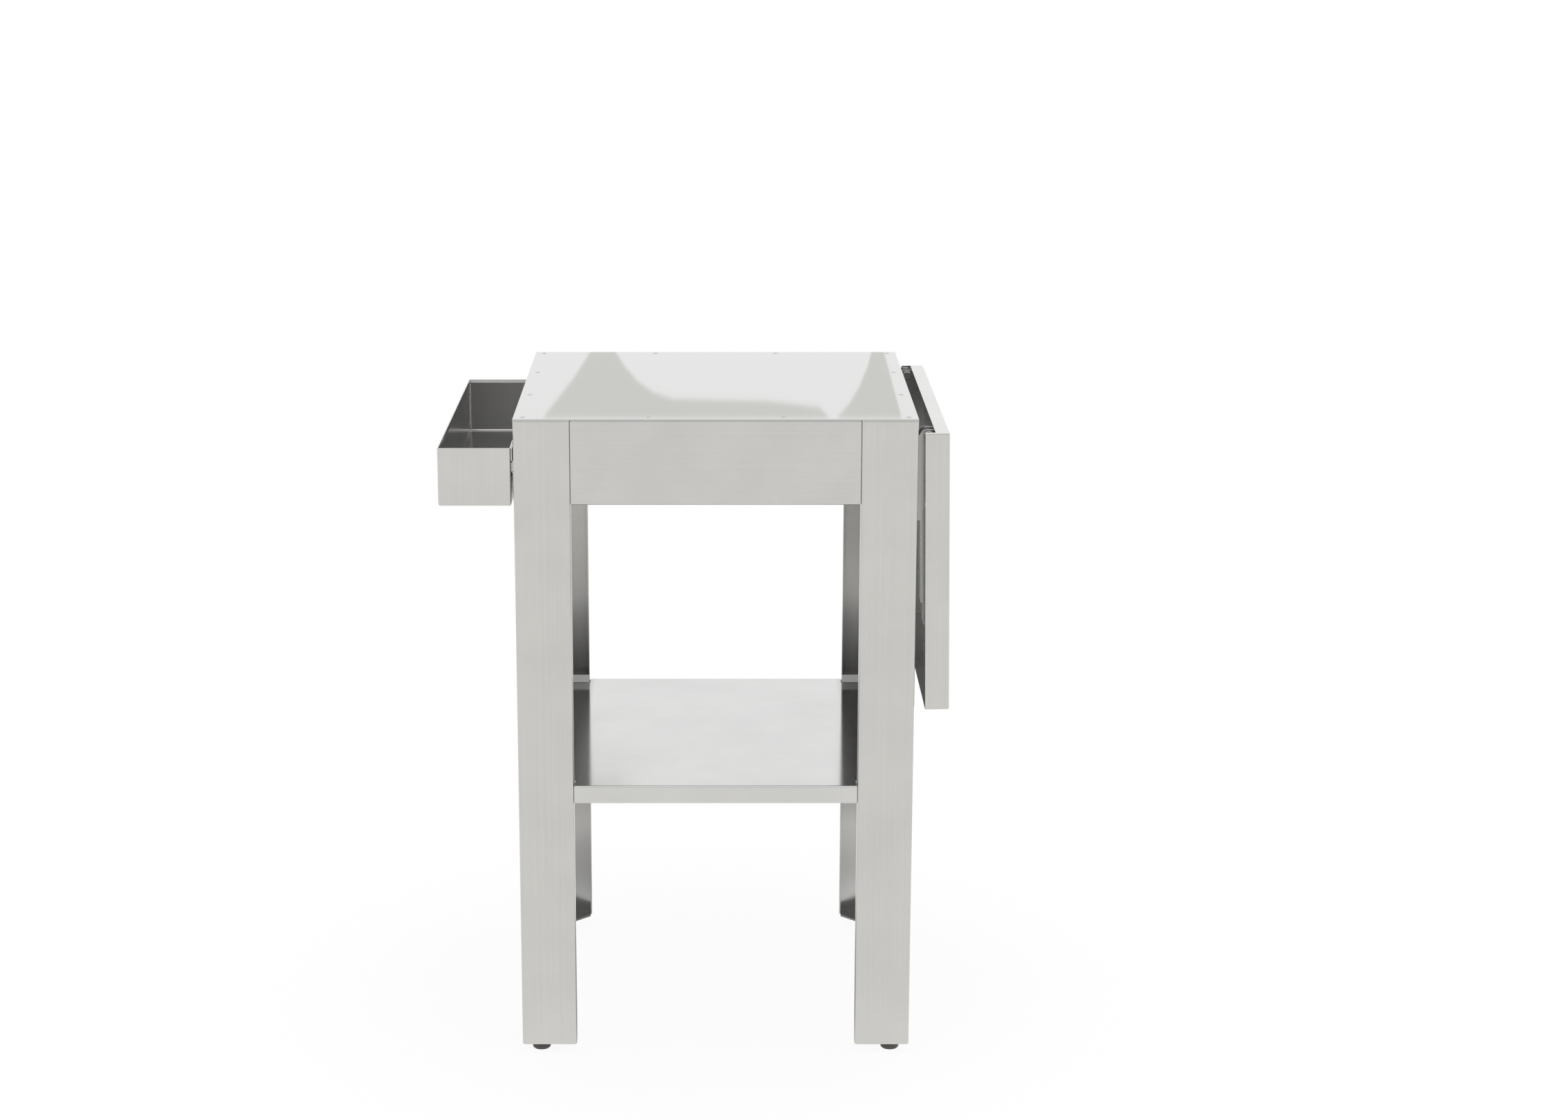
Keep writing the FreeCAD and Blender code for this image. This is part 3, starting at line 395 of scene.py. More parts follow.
# Painted shade on the shelf's deck beyond the legs' inner edges, and a painted highlight on its upright edges
shelf_sheet = brushed_sheet("stainless_polished_shelf", grain_x, grain_y, X, **{
    "Steel": polished_stainless,
    "Polish": 0.10,
    "Streaks": 0.05,
    "Edge dulling": 2.4,
    "Edge highlight": 0.18,
    "Inside middle": (middle_x, 0, deck_z),
    "Inside reach": (half - deck_edge, half - deck_edge, face_depth),
    "Shade axis": X,
    "Shade clear": deck_shade_start,
    "Shade full": deck_shade_end,
    "Shade dulling": 0.42,
})
# Painted shade on the tray's inner faces
tray_sheet = brushed_sheet("stainless_brushed_tray", grain_y, grain_z, Y, **{
    "Polish": 0.17,
    "Inside middle": (tray_inner_low + tray_inner_high) / 2,
    "Inside reach": (tray_inner_high - tray_inner_low) / 2,
    "Inside shade and dulling": 0.28,
})
leaf_sheet = brushed_sheet("stainless_brushed_leaf", grain_y, grain_z, Y, **{
    "Polish": 0.20, "Back axis": -X, "Back dulling": 0.35})
# The foot gussets are dark steel as painted shade, where the leg corners shade them
gusset_sheet = brushed_sheet("stainless_plate_painted_shade", grain_x, Steel=painted_shade_stainless, Polish=0.28)
plated = plated_steel(
    "zinc_plated_bracket", metal=(0.50, 0.505, 0.50, 1), polish=0.34, spangle=0.12, depth=0.00002)
fastener = plated_steel(
    "turned_fastener_steel", metal=(0.62, 0.615, 0.60, 1), polish=0.28, spangle=0.05, depth=0.00002)
weld = plated_steel(
    "weld_bead_steel", metal=(0.72, 0.71, 0.69, 1), polish=0.30, spangle=0.16, depth=0.00006)
glide = plated_steel(
    "moulded_glide_plastic", metal=(0.14, 0.138, 0.13, 1), polish=0.45, spangle=0.10, depth=0.00005,
    metallic=0.0)


def dress(material, *names):
    """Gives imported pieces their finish."""
    for name in names:
        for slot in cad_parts[name].material_slots:
            slot.material = material


dress(top_sheet, "top_plate")
dress(shelf_sheet, "shelf")
dress(cross_sheet, "apron_front", "apron_back")
dress(side_sheet, "apron_left", "apron_right")
dress(upright_sheet, "leg_cap_plates", *("leg_" + corner for corner in corners))
dress(tray_sheet, "tray_pan")
dress(leaf_sheet, "leaf_pan")
dress(gusset_sheet, "foot_plates")
dress(cross_sheet, "hanger_clips", "tray_hook_clips")
for side in brackets:
    dress(plated, "wall_arm_" + side, "leaf_arm_" + side, "strut_" + side)
    dress(fastener, "slider_" + side)
dress(fastener, "hinge_spacers")


# Turned and hexagonal shapes
def turned(blank, outline, segments=32):
    """Adds a shape turned round Z to a blank, from an outline of radius and height, from axis to axis."""
    rings = []
    for radius, z in outline:
        if radius == 0:
            rings.append([blank.verts.new((0, 0, z))])
            continue
        turns = [2 * math.pi * k / segments for k in range(segments)]
        rings.append([blank.verts.new((radius * math.cos(t), radius * math.sin(t), z)) for t in turns])
    skin(blank, rings)


def skin(blank, rings):
    """Joins rings of points with faces, where a ring of one point is a pole."""
    for low, high in zip(rings, rings[1:]):
        count = max(len(low), len(high))
        for k in range(count):
            following = k + 1
            points = [low[k % len(low)], low[following % len(low)]]
            points += [high[following % len(high)], high[k % len(high)]]
            points = list(dict.fromkeys(points))
            if len(points) > 2:
                blank.faces.new(points)


def hexagonal(blank, flats, low, high, bore, chamfer_low=True, chamfer_high=True):
    """Adds a hexagon with its corners turned off, and a bore where one is given."""
    segments = 36
    inner = flats / 2 * 0.95
    square_edge = 0.999
    slope = math.tan(math.radians(30))
    fall_low = slope if chamfer_low else 0.0
    fall_high = slope if chamfer_high else 0.0

    def ring(radius_at, height_at):
        points = []
        for k in range(segments):
            turn = 2 * math.pi * k / segments
            rim = flats / 2 / math.cos((turn % (math.pi / 3)) - math.pi / 6)
            radius = radius_at(rim)
            points.append(blank.verts.new((radius * math.cos(turn), radius * math.sin(turn), height_at(rim))))
        return points

    rings = [
        ring(lambda rim: inner if chamfer_low else rim * square_edge, lambda rim: low),
        ring(lambda rim: rim, lambda rim: low + (rim - inner) * fall_low),
        ring(lambda rim: rim, lambda rim: high - (rim - inner) * fall_high),
        ring(lambda rim: inner if chamfer_high else rim * square_edge, lambda rim: high),
    ]
    if bore:
        mouth = bore * 0.12
        rings.append(ring(lambda rim: bore + mouth, lambda rim: high))
        rings.append(ring(lambda rim: bore, lambda rim: high - mouth))
        rings.append(ring(lambda rim: bore, lambda rim: low + mouth))
        rings.append(ring(lambda rim: bore + mouth, lambda rim: low))
        rings.append(rings[0])
    else:
        rings.insert(0, [blank.verts.new((0, 0, low))])
        rings.append([blank.verts.new((0, 0, high))])
    skin(blank, rings)


def threaded_outline(radius, low, high, pitch):
    """The outline of a threaded bar between two heights, without its ends."""
    core = radius * 0.86
    count = max(1, int((high - low) / pitch) - 1)
    step = (high - low) / count
    flank, crest = 0.3 * step, 0.06 * step
    outline = [(core, low)]
    for k in range(count):
        z = low + (k + 0.5) * step
        outline += [(core, z - flank), (radius, z - crest), (radius, z + crest), (core, z + flank)]
    return outline + [(core, high)]


def made_mesh(name, *shapes):
    """A mesh from functions that add shapes, with its faces turned outwards and its gentle edges smooth."""
    gentle = math.radians(32)
    blank = bmesh.new()
    for shape in shapes:
        shape(blank)
    bmesh.ops.recalc_face_normals(blank, faces=blank.faces)
    for face in blank.faces:
        face.smooth = True
    for edge in blank.edges:
        edge.smooth = not edge.is_manifold or edge.calc_face_angle(0) < gentle
    mesh = bpy.data.meshes.new(name)
    blank.to_mesh(mesh)
    blank.free()
    return mesh


def turned_mesh(name, outline, segments=32):
    """A mesh of one turned shape."""
    return made_mesh(name, lambda blank: turned(blank, outline, segments))


def placed(name, mesh):
    """A new object at the origin."""
    piece = bpy.data.objects.new(name, mesh)
    bpy.context.scene.collection.objects.link(piece)
    return piece


# Patterns of the fasteners. Each has its seat at the origin and its way in along +Z
bar_tip = 0.0006
bar_tip_share = 0.72


def countersunk_screw(head, depth, radius, length, pitch=0.0008):
    """A flush screw with a socket in its head."""
    socket, floor = 0.0016, 0.0010
    socket_edge, head_edge = 0.00012, 0.00008
    neck, tip, tip_share = 0.0004, 0.0005, 0.7
    outline = [(0, floor), (socket * 0.4, floor * 0.98), (socket, floor * 0.9)]
    outline += [(socket * 1.05, socket_edge), (socket * 1.2, 0)]
    outline += [(head * 0.95, 0), (head, head_edge), (radius, depth)]
    outline += threaded_outline(radius, depth + neck, length - tip, pitch)
    outline += [(radius * tip_share, length), (0, length)]
    return turned_mesh("countersunk_screw_pattern", outline)


def hexagon_bolt(flats, head, radius, length, pitch=0.001):
    """A bolt with a washer face under its head, and a shank that is plain where it starts."""
    washer, washer_radius = 0.0003, flats * 0.47
    plain = length * 0.35
    washer_face = [(0, -washer), (washer_radius, -washer), (washer_radius, 0), (0, 0)]
    shank = [(0, 0), (radius, 0), (radius, plain)]
    shank += threaded_outline(radius, plain, length - bar_tip, pitch)
    shank += [(radius * bar_tip_share, length), (0, length)]
    return made_mesh(
        "hexagon_bolt_pattern",
        lambda blank: hexagonal(blank, flats, -head, -washer, 0, chamfer_high=False),
        lambda blank: turned(blank, washer_face),
        lambda blank: turned(blank, shank),
    )


def hexagon_nut(flats, height, bore):
    """A nut, or a bush, with both faces chamfered."""
    return made_mesh("hexagon_nut_pattern", lambda blank: hexagonal(blank, flats, 0, height, bore))


def weld_stud(radius, length, pitch=0.0008):
    """A threaded stud with a short plain foot."""
    foot, thread_start = 0.0004, 0.0008
    outline = [(0, 0), (radius, 0), (radius, foot)]
    outline += threaded_outline(radius, thread_start, length - bar_tip, pitch)
    outline += [(radius * bar_tip_share, length), (0, length)]
    return turned_mesh("weld_stud_pattern", outline)


def dome(radius, height, base, way):
    """The outline of a low rivet head that rises from its base."""
    rises = (0, 0.35, 0.75, 1.1, 1.4)
    return [(radius * math.cos(rise), base + way * height * math.sin(rise)) for rise in rises]


def domed_rivet(head_radius, head, radius, grip, both_ends=False):
    """A rivet with a low domed head, and the same dome on its far end where both ends are seen."""
    outline = [(0, -head)] + dome(head_radius, head, 0, -1)[::-1] + [(radius, 0), (radius, grip)]
    if both_ends:
        outline += dome(head_radius, head, grip, 1) + [(0, grip + head)]
    else:
        outline.append((0, grip))
    return turned_mesh("domed_rivet_pattern", outline)


def headed_pin(radius, reach, head_radius, head):
    """A pin with a flat, chamfered head at either end, the same on both sides of its middle."""
    edge = head * 0.3
    upper = [(radius, reach), (head_radius, reach), (head_radius, reach + head - edge)]
    upper += [(head_radius - edge, reach + head), (0, reach + head)]
    lower = [(r, -z) for r, z in upper[::-1]]
    return turned_mesh("headed_pin_pattern", lower + upper)


# Setting out with nodes. A Random Value node too has sockets of the same names for each kind of value
chance_from, chance_to, chance_made = 2, 3, 1


def node_of(tree, kind, **settings):
    """A new node with its settings."""
    node = tree.nodes.new(kind)
    for key, value in settings.items():
        setattr(node, key, value)
    return node


def chance_node(tree, seed, low, high):
    """A random number for each place, from a seed."""
    node = node_of(tree, "FunctionNodeRandomValue", data_type="FLOAT")
    node.inputs[chance_from].default_value = low
    node.inputs[chance_to].default_value = high
    tree.links.new(seed, node.inputs["Seed"])
    return node.outputs[chance_made]


def tree_with(name, inputs):
    """A new geometry tree with a geometry input and output, as (tree, input node, output node)."""
    tree = bpy.data.node_groups.new(name, "GeometryNodeTree")
    tree.interface.new_socket("Places", in_out="INPUT", socket_type="NodeSocketGeometry")
    for label, kind in inputs:
        tree.interface.new_socket(label, in_out="INPUT", socket_type="NodeSocket" + kind)
    tree.interface.new_socket("Made", in_out="OUTPUT", socket_type="NodeSocketGeometry")
    return tree, tree.nodes.new("NodeGroupInput"), tree.nodes.new("NodeGroupOutput")


def realised(tree, given, made, instances):
    """Ends a tree: the instances become real and take their finish."""
    real = node_of(tree, "GeometryNodeRealizeInstances")
    finish = node_of(tree, "GeometryNodeSetMaterial")
    tree.links.new(instances, real.inputs["Geometry"])
    tree.links.new(real.outputs["Geometry"], finish.inputs["Geometry"])
    tree.links.new(given.outputs["Finish"], finish.inputs["Material"])
    tree.links.new(finish.outputs["Geometry"], made.inputs["Made"])


def fastener_layout_tree():
    """Sets a fastener at each place, along its own way in and turned as chance left it."""
    tree, given, made = tree_with(
        "fastener_layout", [("Fastener", "Object"), ("Finish", "Material"), ("Turn seed", "Int")])
    source = node_of(tree, "GeometryNodeObjectInfo")
    way = node_of(tree, "GeometryNodeInputNamedAttribute", data_type="FLOAT_VECTOR")
    way.inputs["Name"].default_value = "way_in"
    align = node_of(tree, "FunctionNodeAlignRotationToVector", axis="Z")
    angle = chance_node(tree, given.outputs["Turn seed"], 0, 2 * math.pi)
    spin = node_of(tree, "FunctionNodeAxisAngleToRotation")
    both = node_of(tree, "FunctionNodeRotateRotation", rotation_space="LOCAL")
    setter = node_of(tree, "GeometryNodeInstanceOnPoints")
    links = tree.links
    links.new(given.outputs["Fastener"], source.inputs["Object"])
    links.new(way.outputs["Attribute"], align.inputs["Vector"])
    links.new(angle, spin.inputs["Angle"])
    links.new(align.outputs["Rotation"], both.inputs["Rotation"])
    links.new(spin.outputs["Rotation"], both.inputs["Rotate By"])
    links.new(given.outputs["Places"], setter.inputs["Points"])
    links.new(source.outputs["Geometry"], setter.inputs["Instance"])
    links.new(both.outputs["Rotation"], setter.inputs["Rotation"])
    realised(tree, given, made, setter.outputs["Instances"])
    return tree


def weld_bead_tree():
    """Lays overlapping ripples along a path, as a welder leaves them."""
    smallest, largest = 0.82, 1.12
    tree, given, made = tree_with("weld_bead", [
        ("Bead radius", "Float"), ("Ripple step", "Float"), ("Finish", "Material"), ("Ripple seed", "Int")])
    path = node_of(tree, "GeometryNodeMeshToCurve")
    steps = node_of(tree, "GeometryNodeResampleCurve", mode="LENGTH")
    ripple = node_of(tree, "GeometryNodeMeshIcoSphere")
    ripple.inputs["Subdivisions"].default_value = 2
    along = node_of(tree, "GeometryNodeInputTangent")
    align = node_of(tree, "FunctionNodeAlignRotationToVector", axis="X")
    size = chance_node(tree, given.outputs["Ripple seed"], smallest, largest)
    setter = node_of(tree, "GeometryNodeInstanceOnPoints")
    smooth = node_of(tree, "GeometryNodeSetShadeSmooth")
    links = tree.links
    links.new(given.outputs["Places"], path.inputs["Mesh"])
    links.new(path.outputs["Curve"], steps.inputs["Curve"])
    links.new(given.outputs["Ripple step"], steps.inputs["Length"])
    links.new(given.outputs["Bead radius"], ripple.inputs["Radius"])
    links.new(ripple.outputs["Mesh"], smooth.inputs["Geometry"])
    links.new(along.outputs["Tangent"], align.inputs["Vector"])
    links.new(steps.outputs["Curve"], setter.inputs["Points"])
    links.new(smooth.outputs["Geometry"], setter.inputs["Instance"])
    links.new(align.outputs["Rotation"], setter.inputs["Rotation"])
    links.new(size, setter.inputs["Scale"])
    realised(tree, given, made, setter.outputs["Instances"])
    return tree


def screw_thread_tree():
    """Winds a thread round a bar from the object's origin upwards."""
    tree, given, made = tree_with("screw_thread", [
        ("Core radius", "Float"), ("Ridge", "Float"), ("Pitch", "Float"), ("Length", "Float"),
        ("Finish", "Material")])
    turns = node_of(tree, "ShaderNodeMath", operation="DIVIDE")
    helix = node_of(tree, "GeometryNodeCurveSpiral")
    helix.inputs["Resolution"].default_value = 24
    upright = node_of(tree, "GeometryNodeSetCurveNormal", mode="Z_UP")
    ridge = node_of(tree, "GeometryNodeCurvePrimitiveCircle")
    ridge.inputs["Resolution"].default_value = 4
    wind = node_of(tree, "GeometryNodeCurveToMesh")
    wind.inputs["Fill Caps"].default_value = True
    core = node_of(tree, "GeometryNodeMeshCylinder")
    core.inputs["Vertices"].default_value = 32
    lift = node_of(tree, "GeometryNodeTransform")
    half_length = node_of(tree, "ShaderNodeMath", operation="MULTIPLY")
    half_length.inputs[1].default_value = 0.5
    up = node_of(tree, "ShaderNodeCombineXYZ")
    join = node_of(tree, "GeometryNodeJoinGeometry")
    links = tree.links
    links.new(given.outputs["Length"], turns.inputs[0])
    links.new(given.outputs["Pitch"], turns.inputs[1])
    links.new(turns.outputs["Value"], helix.inputs["Rotations"])
    links.new(given.outputs["Core radius"], helix.inputs["Start Radius"])
    links.new(given.outputs["Core radius"], helix.inputs["End Radius"])
    links.new(given.outputs["Length"], helix.inputs["Height"])
    links.new(given.outputs["Ridge"], ridge.inputs["Radius"])
    links.new(helix.outputs["Curve"], upright.inputs["Curve"])
    links.new(upright.outputs["Curve"], wind.inputs["Curve"])
    links.new(ridge.outputs["Curve"], wind.inputs["Profile Curve"])
    links.new(given.outputs["Core radius"], core.inputs["Radius"])
    links.new(given.outputs["Length"], core.inputs["Depth"])
    links.new(given.outputs["Length"], half_length.inputs[0])
    links.new(half_length.outputs["Value"], up.inputs["Z"])
    links.new(up.outputs["Vector"], lift.inputs["Translation"])
    links.new(core.outputs["Mesh"], lift.inputs["Geometry"])
    links.new(lift.outputs["Geometry"], join.inputs["Geometry"])
    links.new(wind.outputs["Mesh"], join.inputs["Geometry"])
    realised(tree, given, made, join.outputs["Geometry"])
    return tree


fastener_layout = fastener_layout_tree()
weld_bead = weld_bead_tree()
screw_thread = screw_thread_tree()


def worked(name, mesh, tree, values):
    """The plain mesh that a tree makes from a mesh, with its inputs set by name."""
    holder = placed(name, mesh)
    modifier = holder.modifiers.new(name, "NODES")
    modifier.node_group = tree
    for item in tree.interface.items_tree:
        if item.item_type == "SOCKET" and item.in_out == "INPUT" and item.name in values:
            modifier[item.identifier] = values[item.name]
    graph = bpy.context.evaluated_depsgraph_get()
    result = bpy.data.meshes.new_from_object(holder.evaluated_get(graph))
    bpy.data.objects.remove(holder)
    result.name = name
    return result


def fit(piece, body, nodes):
    """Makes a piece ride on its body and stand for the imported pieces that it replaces."""
    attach(piece, body)
    if nodes:
        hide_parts(*nodes)
    return piece


def set_out(name, pattern, places, body, nodes):
    """One piece with a fastener at each place, given as a point and its way in."""
    points = bpy.data.meshes.new(name + "_places")
    points.from_pydata([point for point, way in places], [], [])
    ways = points.attributes.new("way_in", "FLOAT_VECTOR", "POINT")
    for k, (point, way) in enumerate(places):
        ways.data[k].vector = way
    sample = placed(name + "_sample", pattern)
    values = {"Fastener": sample, "Finish": fastener, "Turn seed": len(places)}
    mesh = worked(name, points, fastener_layout, values)
    bpy.data.objects.remove(sample)
    return fit(placed(name, mesh), body, nodes)


def weld_seam(name, paths, radius, body):
    """One piece of weld bead along each path of points."""
    step = radius * 0.9
    points, edges = [], []
    for path in paths:
        edges += [(len(points) + k, len(points) + k + 1) for k in range(len(path) - 1)]
        points += path
    mesh = bpy.data.meshes.new(name + "_paths")
    mesh.from_pydata(points, edges, [])
    values = {"Bead radius": radius, "Ripple step": step, "Finish": weld, "Ripple seed": len(points)}
    return fit(placed(name, worked(name, mesh, weld_bead, values)), body, ())


# Fasteners of the frame
top_screw_inset = 0.013
flush_drop = 0.0001
nut_height = 0.004
bolt_flats = 0.010
bolt_radius = 0.003
bolt_tail = 0.002
panel_bolt_length = panel_sheet + leg_sheet + nut_height + bolt_tail
bracket_screw_length = bracket_sheet + leg_sheet + nut_height + bolt_tail
top_screw = countersunk_screw(head=0.0046, depth=0.0016, radius=0.0025, length=0.011)
small_nut = hexagon_nut(flats=0.008, height=nut_height, bore=0.0025)
panel_bolt = hexagon_bolt(bolt_flats, head=0.004, radius=bolt_radius, length=panel_bolt_length)
bracket_screw = hexagon_bolt(bolt_flats, head=0.003, radius=bolt_radius, length=bracket_screw_length)
bolt_nut = hexagon_nut(bolt_flats, nut_height, bolt_radius)
foot_bush = hexagon_nut(flats=0.017, height=0.009, bore=0.00406)
clip_rivet = domed_rivet(
    head_radius=0.0042, head=0.0013, radius=0.0024, grip=clip_sheet + leg_sheet, both_ends=True)


def at(x, y, z):
    """A point given from the middle of the stand."""
    return Vector((middle_x + x, y, z))


def top_screw_places():
    """Where the top's screws stand along its rim, from its middle."""
    rim = half - top_screw_inset
    grid = (-rim, -half / 3, half / 3, rim)
    return [(x, y) for x in grid for y in grid if rim in (abs(x), abs(y))]


def lip_places(levels):
    """Where bolts cross the lips of the legs, and their way into the leg."""
    places = []
    near = half - leg_lip / 2 - leg_sheet / 2
    for side_x, side_y in corners.values():
        for level in levels:
            places.append((at(side_x * opening, side_y * near, level), X * side_x))
            places.append((at(side_x * near, side_y * opening, level), Y * side_y))
    return places


def top_nut_places():
    """Under the top's screws: beneath the leg caps at the corners, and beneath the aprons elsewhere."""
    places = []
    for x, y in top_screw_places():
        at_corner = abs(x) > opening and abs(y) > opening
        places.append((at(x, y, leg_top if at_corner else panel_top - panel_sheet), -Z))
    return places


screw_places = [(at(x, y, top_z - flush_drop), -Z) for x, y in top_screw_places()]
set_out("top_screws_fitted", top_screw, screw_places, "frame", ["top_screws"])
set_out("top_nuts_fitted", small_nut, top_nut_places(), "frame", ["top_screw_nuts"])
for label, levels in (("apron", apron_levels), ("shelf", (shelf_bolt_level,))):
    lips = lip_places(levels)
    bolts = [(point - way * panel_sheet, way) for point, way in lips]
    nuts = [(point + way * leg_sheet, way) for point, way in lips]
    set_out(label + "_bolts_fitted", panel_bolt, bolts, "frame", [label + "_bolts"])
    set_out(label + "_nuts_fitted", bolt_nut, nuts, "frame", [label + "_nuts"])
rivet_places = []
for middle_y in brackets.values():
    for offset in (-clip_rivet_spacing / 2, clip_rivet_spacing / 2):
        rivet_places.append((at(-half - clip_sheet, middle_y + offset, clip_rivet_level), X))
set_out("hanger_rivets_fitted", clip_rivet, rivet_places, "frame", ["hanger_rivets"])
bush_places = []
for side_x, side_y in corners.values():
    bush_places.append((at(side_x * foot_reach, side_y * foot_reach, leg_foot + foot_plate_sheet), Z))
set_out("foot_bushes_fitted", foot_bush, bush_places, "frame", ["foot_bushes"])

# Fasteners of the folding brackets
strut_rivet = {"head_radius": 0.005, "head": 0.0018, "radius": 0.003}
hinge_pin = headed_pin(radius=0.004, reach=ear_outer, head_radius=0.0065, head=0.002)
leaf_stud = weld_stud(radius=0.0025, length=0.009)


def pair_outside(middle, reach):
    """A place on either side of a bracket's middle, each with its way in towards the middle."""
    return [(middle + Y * hand * reach, Y * -hand) for hand in (-1, 1)]


arm_seats = [at(half, y, hinge.z - drop) for y in brackets.values() for drop in wall_arm_screw_drops]
arm_screws = [(seat + X * bracket_sheet, -X) for seat in arm_seats]
arm_nuts = [(seat - X * leg_sheet, -X) for seat in arm_seats]
set_out("bracket_screws_fitted", bracket_screw, arm_screws, "frame", ["wall_arm_screws"])
set_out("bracket_nuts_fitted", bolt_nut, arm_nuts, "frame", ["wall_arm_nuts"])
pin_places = [(hinge + Y * y, Y) for y in brackets.values()]
set_out("hinge_pins_fitted", hinge_pin, pin_places, "frame", ["hinge_pins"])
pivot_rivet = domed_rivet(grip=ear_outer - strut_inner, **strut_rivet)
pivot_places = [place for y in brackets.values() for place in pair_outside(strut_pivot + Y * y, ear_outer)]
set_out("strut_rivets_fitted", pivot_rivet, pivot_places, "frame", ["strut_rivets"])

hang = Matrix.Translation(hinge) @ Matrix.Rotation(-leaf_tilt, 4, "Y") @ Matrix.Translation(-hinge)
hung_x = hang.to_3x3() @ X
roots = [Vector((leaf_skin, y, hinge.z - drop)) for y in brackets.values() for drop in leaf_stud_drops]
stud_places = [(hang @ root, -hung_x) for root in roots]
stud_nut_places = [(hang @ (root - X * bracket_sheet), -hung_x) for root in roots]
set_out("leaf_studs_fitted", leaf_stud, stud_places, "leaf", ["leaf_studs"])
set_out("leaf_nuts_fitted", small_nut, stud_nut_places, "leaf", ["leaf_stud_nuts"])

# The strut's far end lies on the leaf arm's slot, which runs from the hinge at the leaf's tilt
tilt_across = strut_pivot_drop * math.sin(leaf_tilt)
tilt_along = strut_pivot_drop * math.cos(leaf_tilt)
slot_run = tilt_along + math.sqrt(strut_length ** 2 - tilt_across ** 2)
strut_lean = math.atan2(
    slot_run * math.sin(leaf_tilt), slot_run * math.cos(leaf_tilt) - strut_pivot_drop)
strut_foot = strut_pivot + Vector((math.sin(strut_lean), 0, -math.cos(strut_lean))) * strut_length
end_rivet = domed_rivet(grip=strut_outer - strut_inner, **strut_rivet)
for side, y in brackets.items():
    end_places = pair_outside(strut_foot + Y * y, strut_outer)
    set_out("strut_end_rivets_fitted_" + side, end_rivet, end_places,
            "strut_" + side, ["strut_end_rivets_" + side])

# Levelling feet
glide_height = 0.009
collar_flats = 0.013
stud_core = 0.0034
stud_ridge = 0.00052
stud_pitch = 0.00125


def moulded_glide():
    """A glide with a hollowed and rounded base, a shallow grip groove and a socket for its stud."""
    hollow = [(0, 0.0006), (0.0060, 0.0006), (0.0066, 0.0000)]
    base = [(0.0095, 0.0000), (0.0112, 0.0005), (0.0124, 0.0016), (0.0129, 0.0030), (0.0130, 0.0042)]
    groove = [(0.0130, 0.0052), (0.0126, 0.0056), (0.0126, 0.0062), (0.0130, 0.0066)]
    shoulder = [(0.0130, 0.0080), (0.0124, 0.0088), (0.0116, glide_height)]
    socket = [(0.0044, glide_height), (0.0041, 0.0087), (0.0041, 0.0050), (0, 0.0050)]
    return turned_mesh("moulded_glide_pattern", hollow + base + groove + shoulder + socket, segments=48)


def moved(mesh, way):
    """The mesh with its place in its points."""
    mesh.transform(Matrix.Translation(way))
    return mesh


def levelling_stud(corner, place):
    """A threaded stud with a plain end in its glide, a hexagon collar to turn it by and a chamfered tip."""
    low, high = (end.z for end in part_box("foot_stud_" + corner))
    plain_radius, plain_edge = 0.0039, 0.0004
    plain_top = low + 0.011
    tip_radius, tip_edge = 0.0028, 0.0006
    tip_low = high - 0.002
    thread_low, thread_high = low + 0.010, high - 0.001
    plain_end = [(0, low), (0.0036, low), (plain_radius, low + plain_edge)]
    plain_end += [(plain_radius, plain_top), (0, plain_top)]
    tip = [(0, tip_low), (stud_core, tip_low), (stud_core, high - tip_edge), (tip_radius, high), (0, high)]
    values = {
        "Core radius": stud_core, "Ridge": stud_ridge, "Pitch": stud_pitch,
        "Length": thread_high - thread_low, "Finish": fastener,
    }
    thread = worked("stud_thread", bpy.data.meshes.new("stud_start"), screw_thread, values)
    moved(thread, Z * thread_low)
    mesh = made_mesh(
        "levelling_stud_" + corner,
        lambda blank: blank.from_mesh(thread),
        lambda blank: turned(blank, plain_end),
        lambda blank: hexagonal(blank, collar_flats, glide_height + foot_gap, leg_foot - foot_gap, 0),
        lambda blank: turned(blank, tip),
    )
    mesh.materials.append(fastener)
    return moved(mesh, place)


for corner, (side_x, side_y) in corners.items():
    place = at(side_x * foot_reach, side_y * foot_reach, 0)
    pad = moved(moulded_glide(), place)
    pad.materials.append(glide)
    fit(placed("glide_pad_" + corner, pad), "leveller_" + corner, ["foot_pad_" + corner])
    stud = placed("levelling_stud_" + corner, levelling_stud(corner, place))
    fit(stud, "leveller_" + corner, ["foot_stud_" + corner])

# Weld beads
tray_bead = 0.0011
foot_bead = 0.0012


def tray_seams(inset=0.0020, above_floor=0.0034, below_rim=0.007):
    """The four upright seams inside the tray, as paths from above its bends to below its rim."""
    low, high = tray_low.z + above_floor, tray_high.z - below_rim
    across = (tray_low.x + inset, tray_high.x - inset)
    along = (tray_low.y + inset, tray_high.y - inset)
    return [[Vector((x, y, low)), Vector((x, y, high))] for x in across for y in along]


def foot_seams(proud=0.0002, stretch=(0.012, 0.040), ring_radius=0.0092, ring_steps=24):
    """Two seams along the edges of each gusset and one round its bush, as paths."""
    near = half - leg_sheet - proud
    level = leg_foot + foot_plate_sheet + proud
    turns = [2 * math.pi * k / ring_steps for k in range(ring_steps + 1)]
    paths = []
    for side_x, side_y in corners.values():
        bush_x, bush_y = side_x * foot_reach, side_y * foot_reach
        paths.append([at(side_x * near, side_y * (half - inset), level) for inset in stretch])
        paths.append([at(side_x * (half - inset), side_y * near, level) for inset in stretch])
        paths.append([
            at(bush_x + ring_radius * math.cos(turn), bush_y + ring_radius * math.sin(turn), level)
            for turn in turns])
    return paths


weld_seam("tray_corner_welds", tray_seams(), tray_bead, "tray")
weld_seam("foot_plate_welds", foot_seams(), foot_bead, "frame")

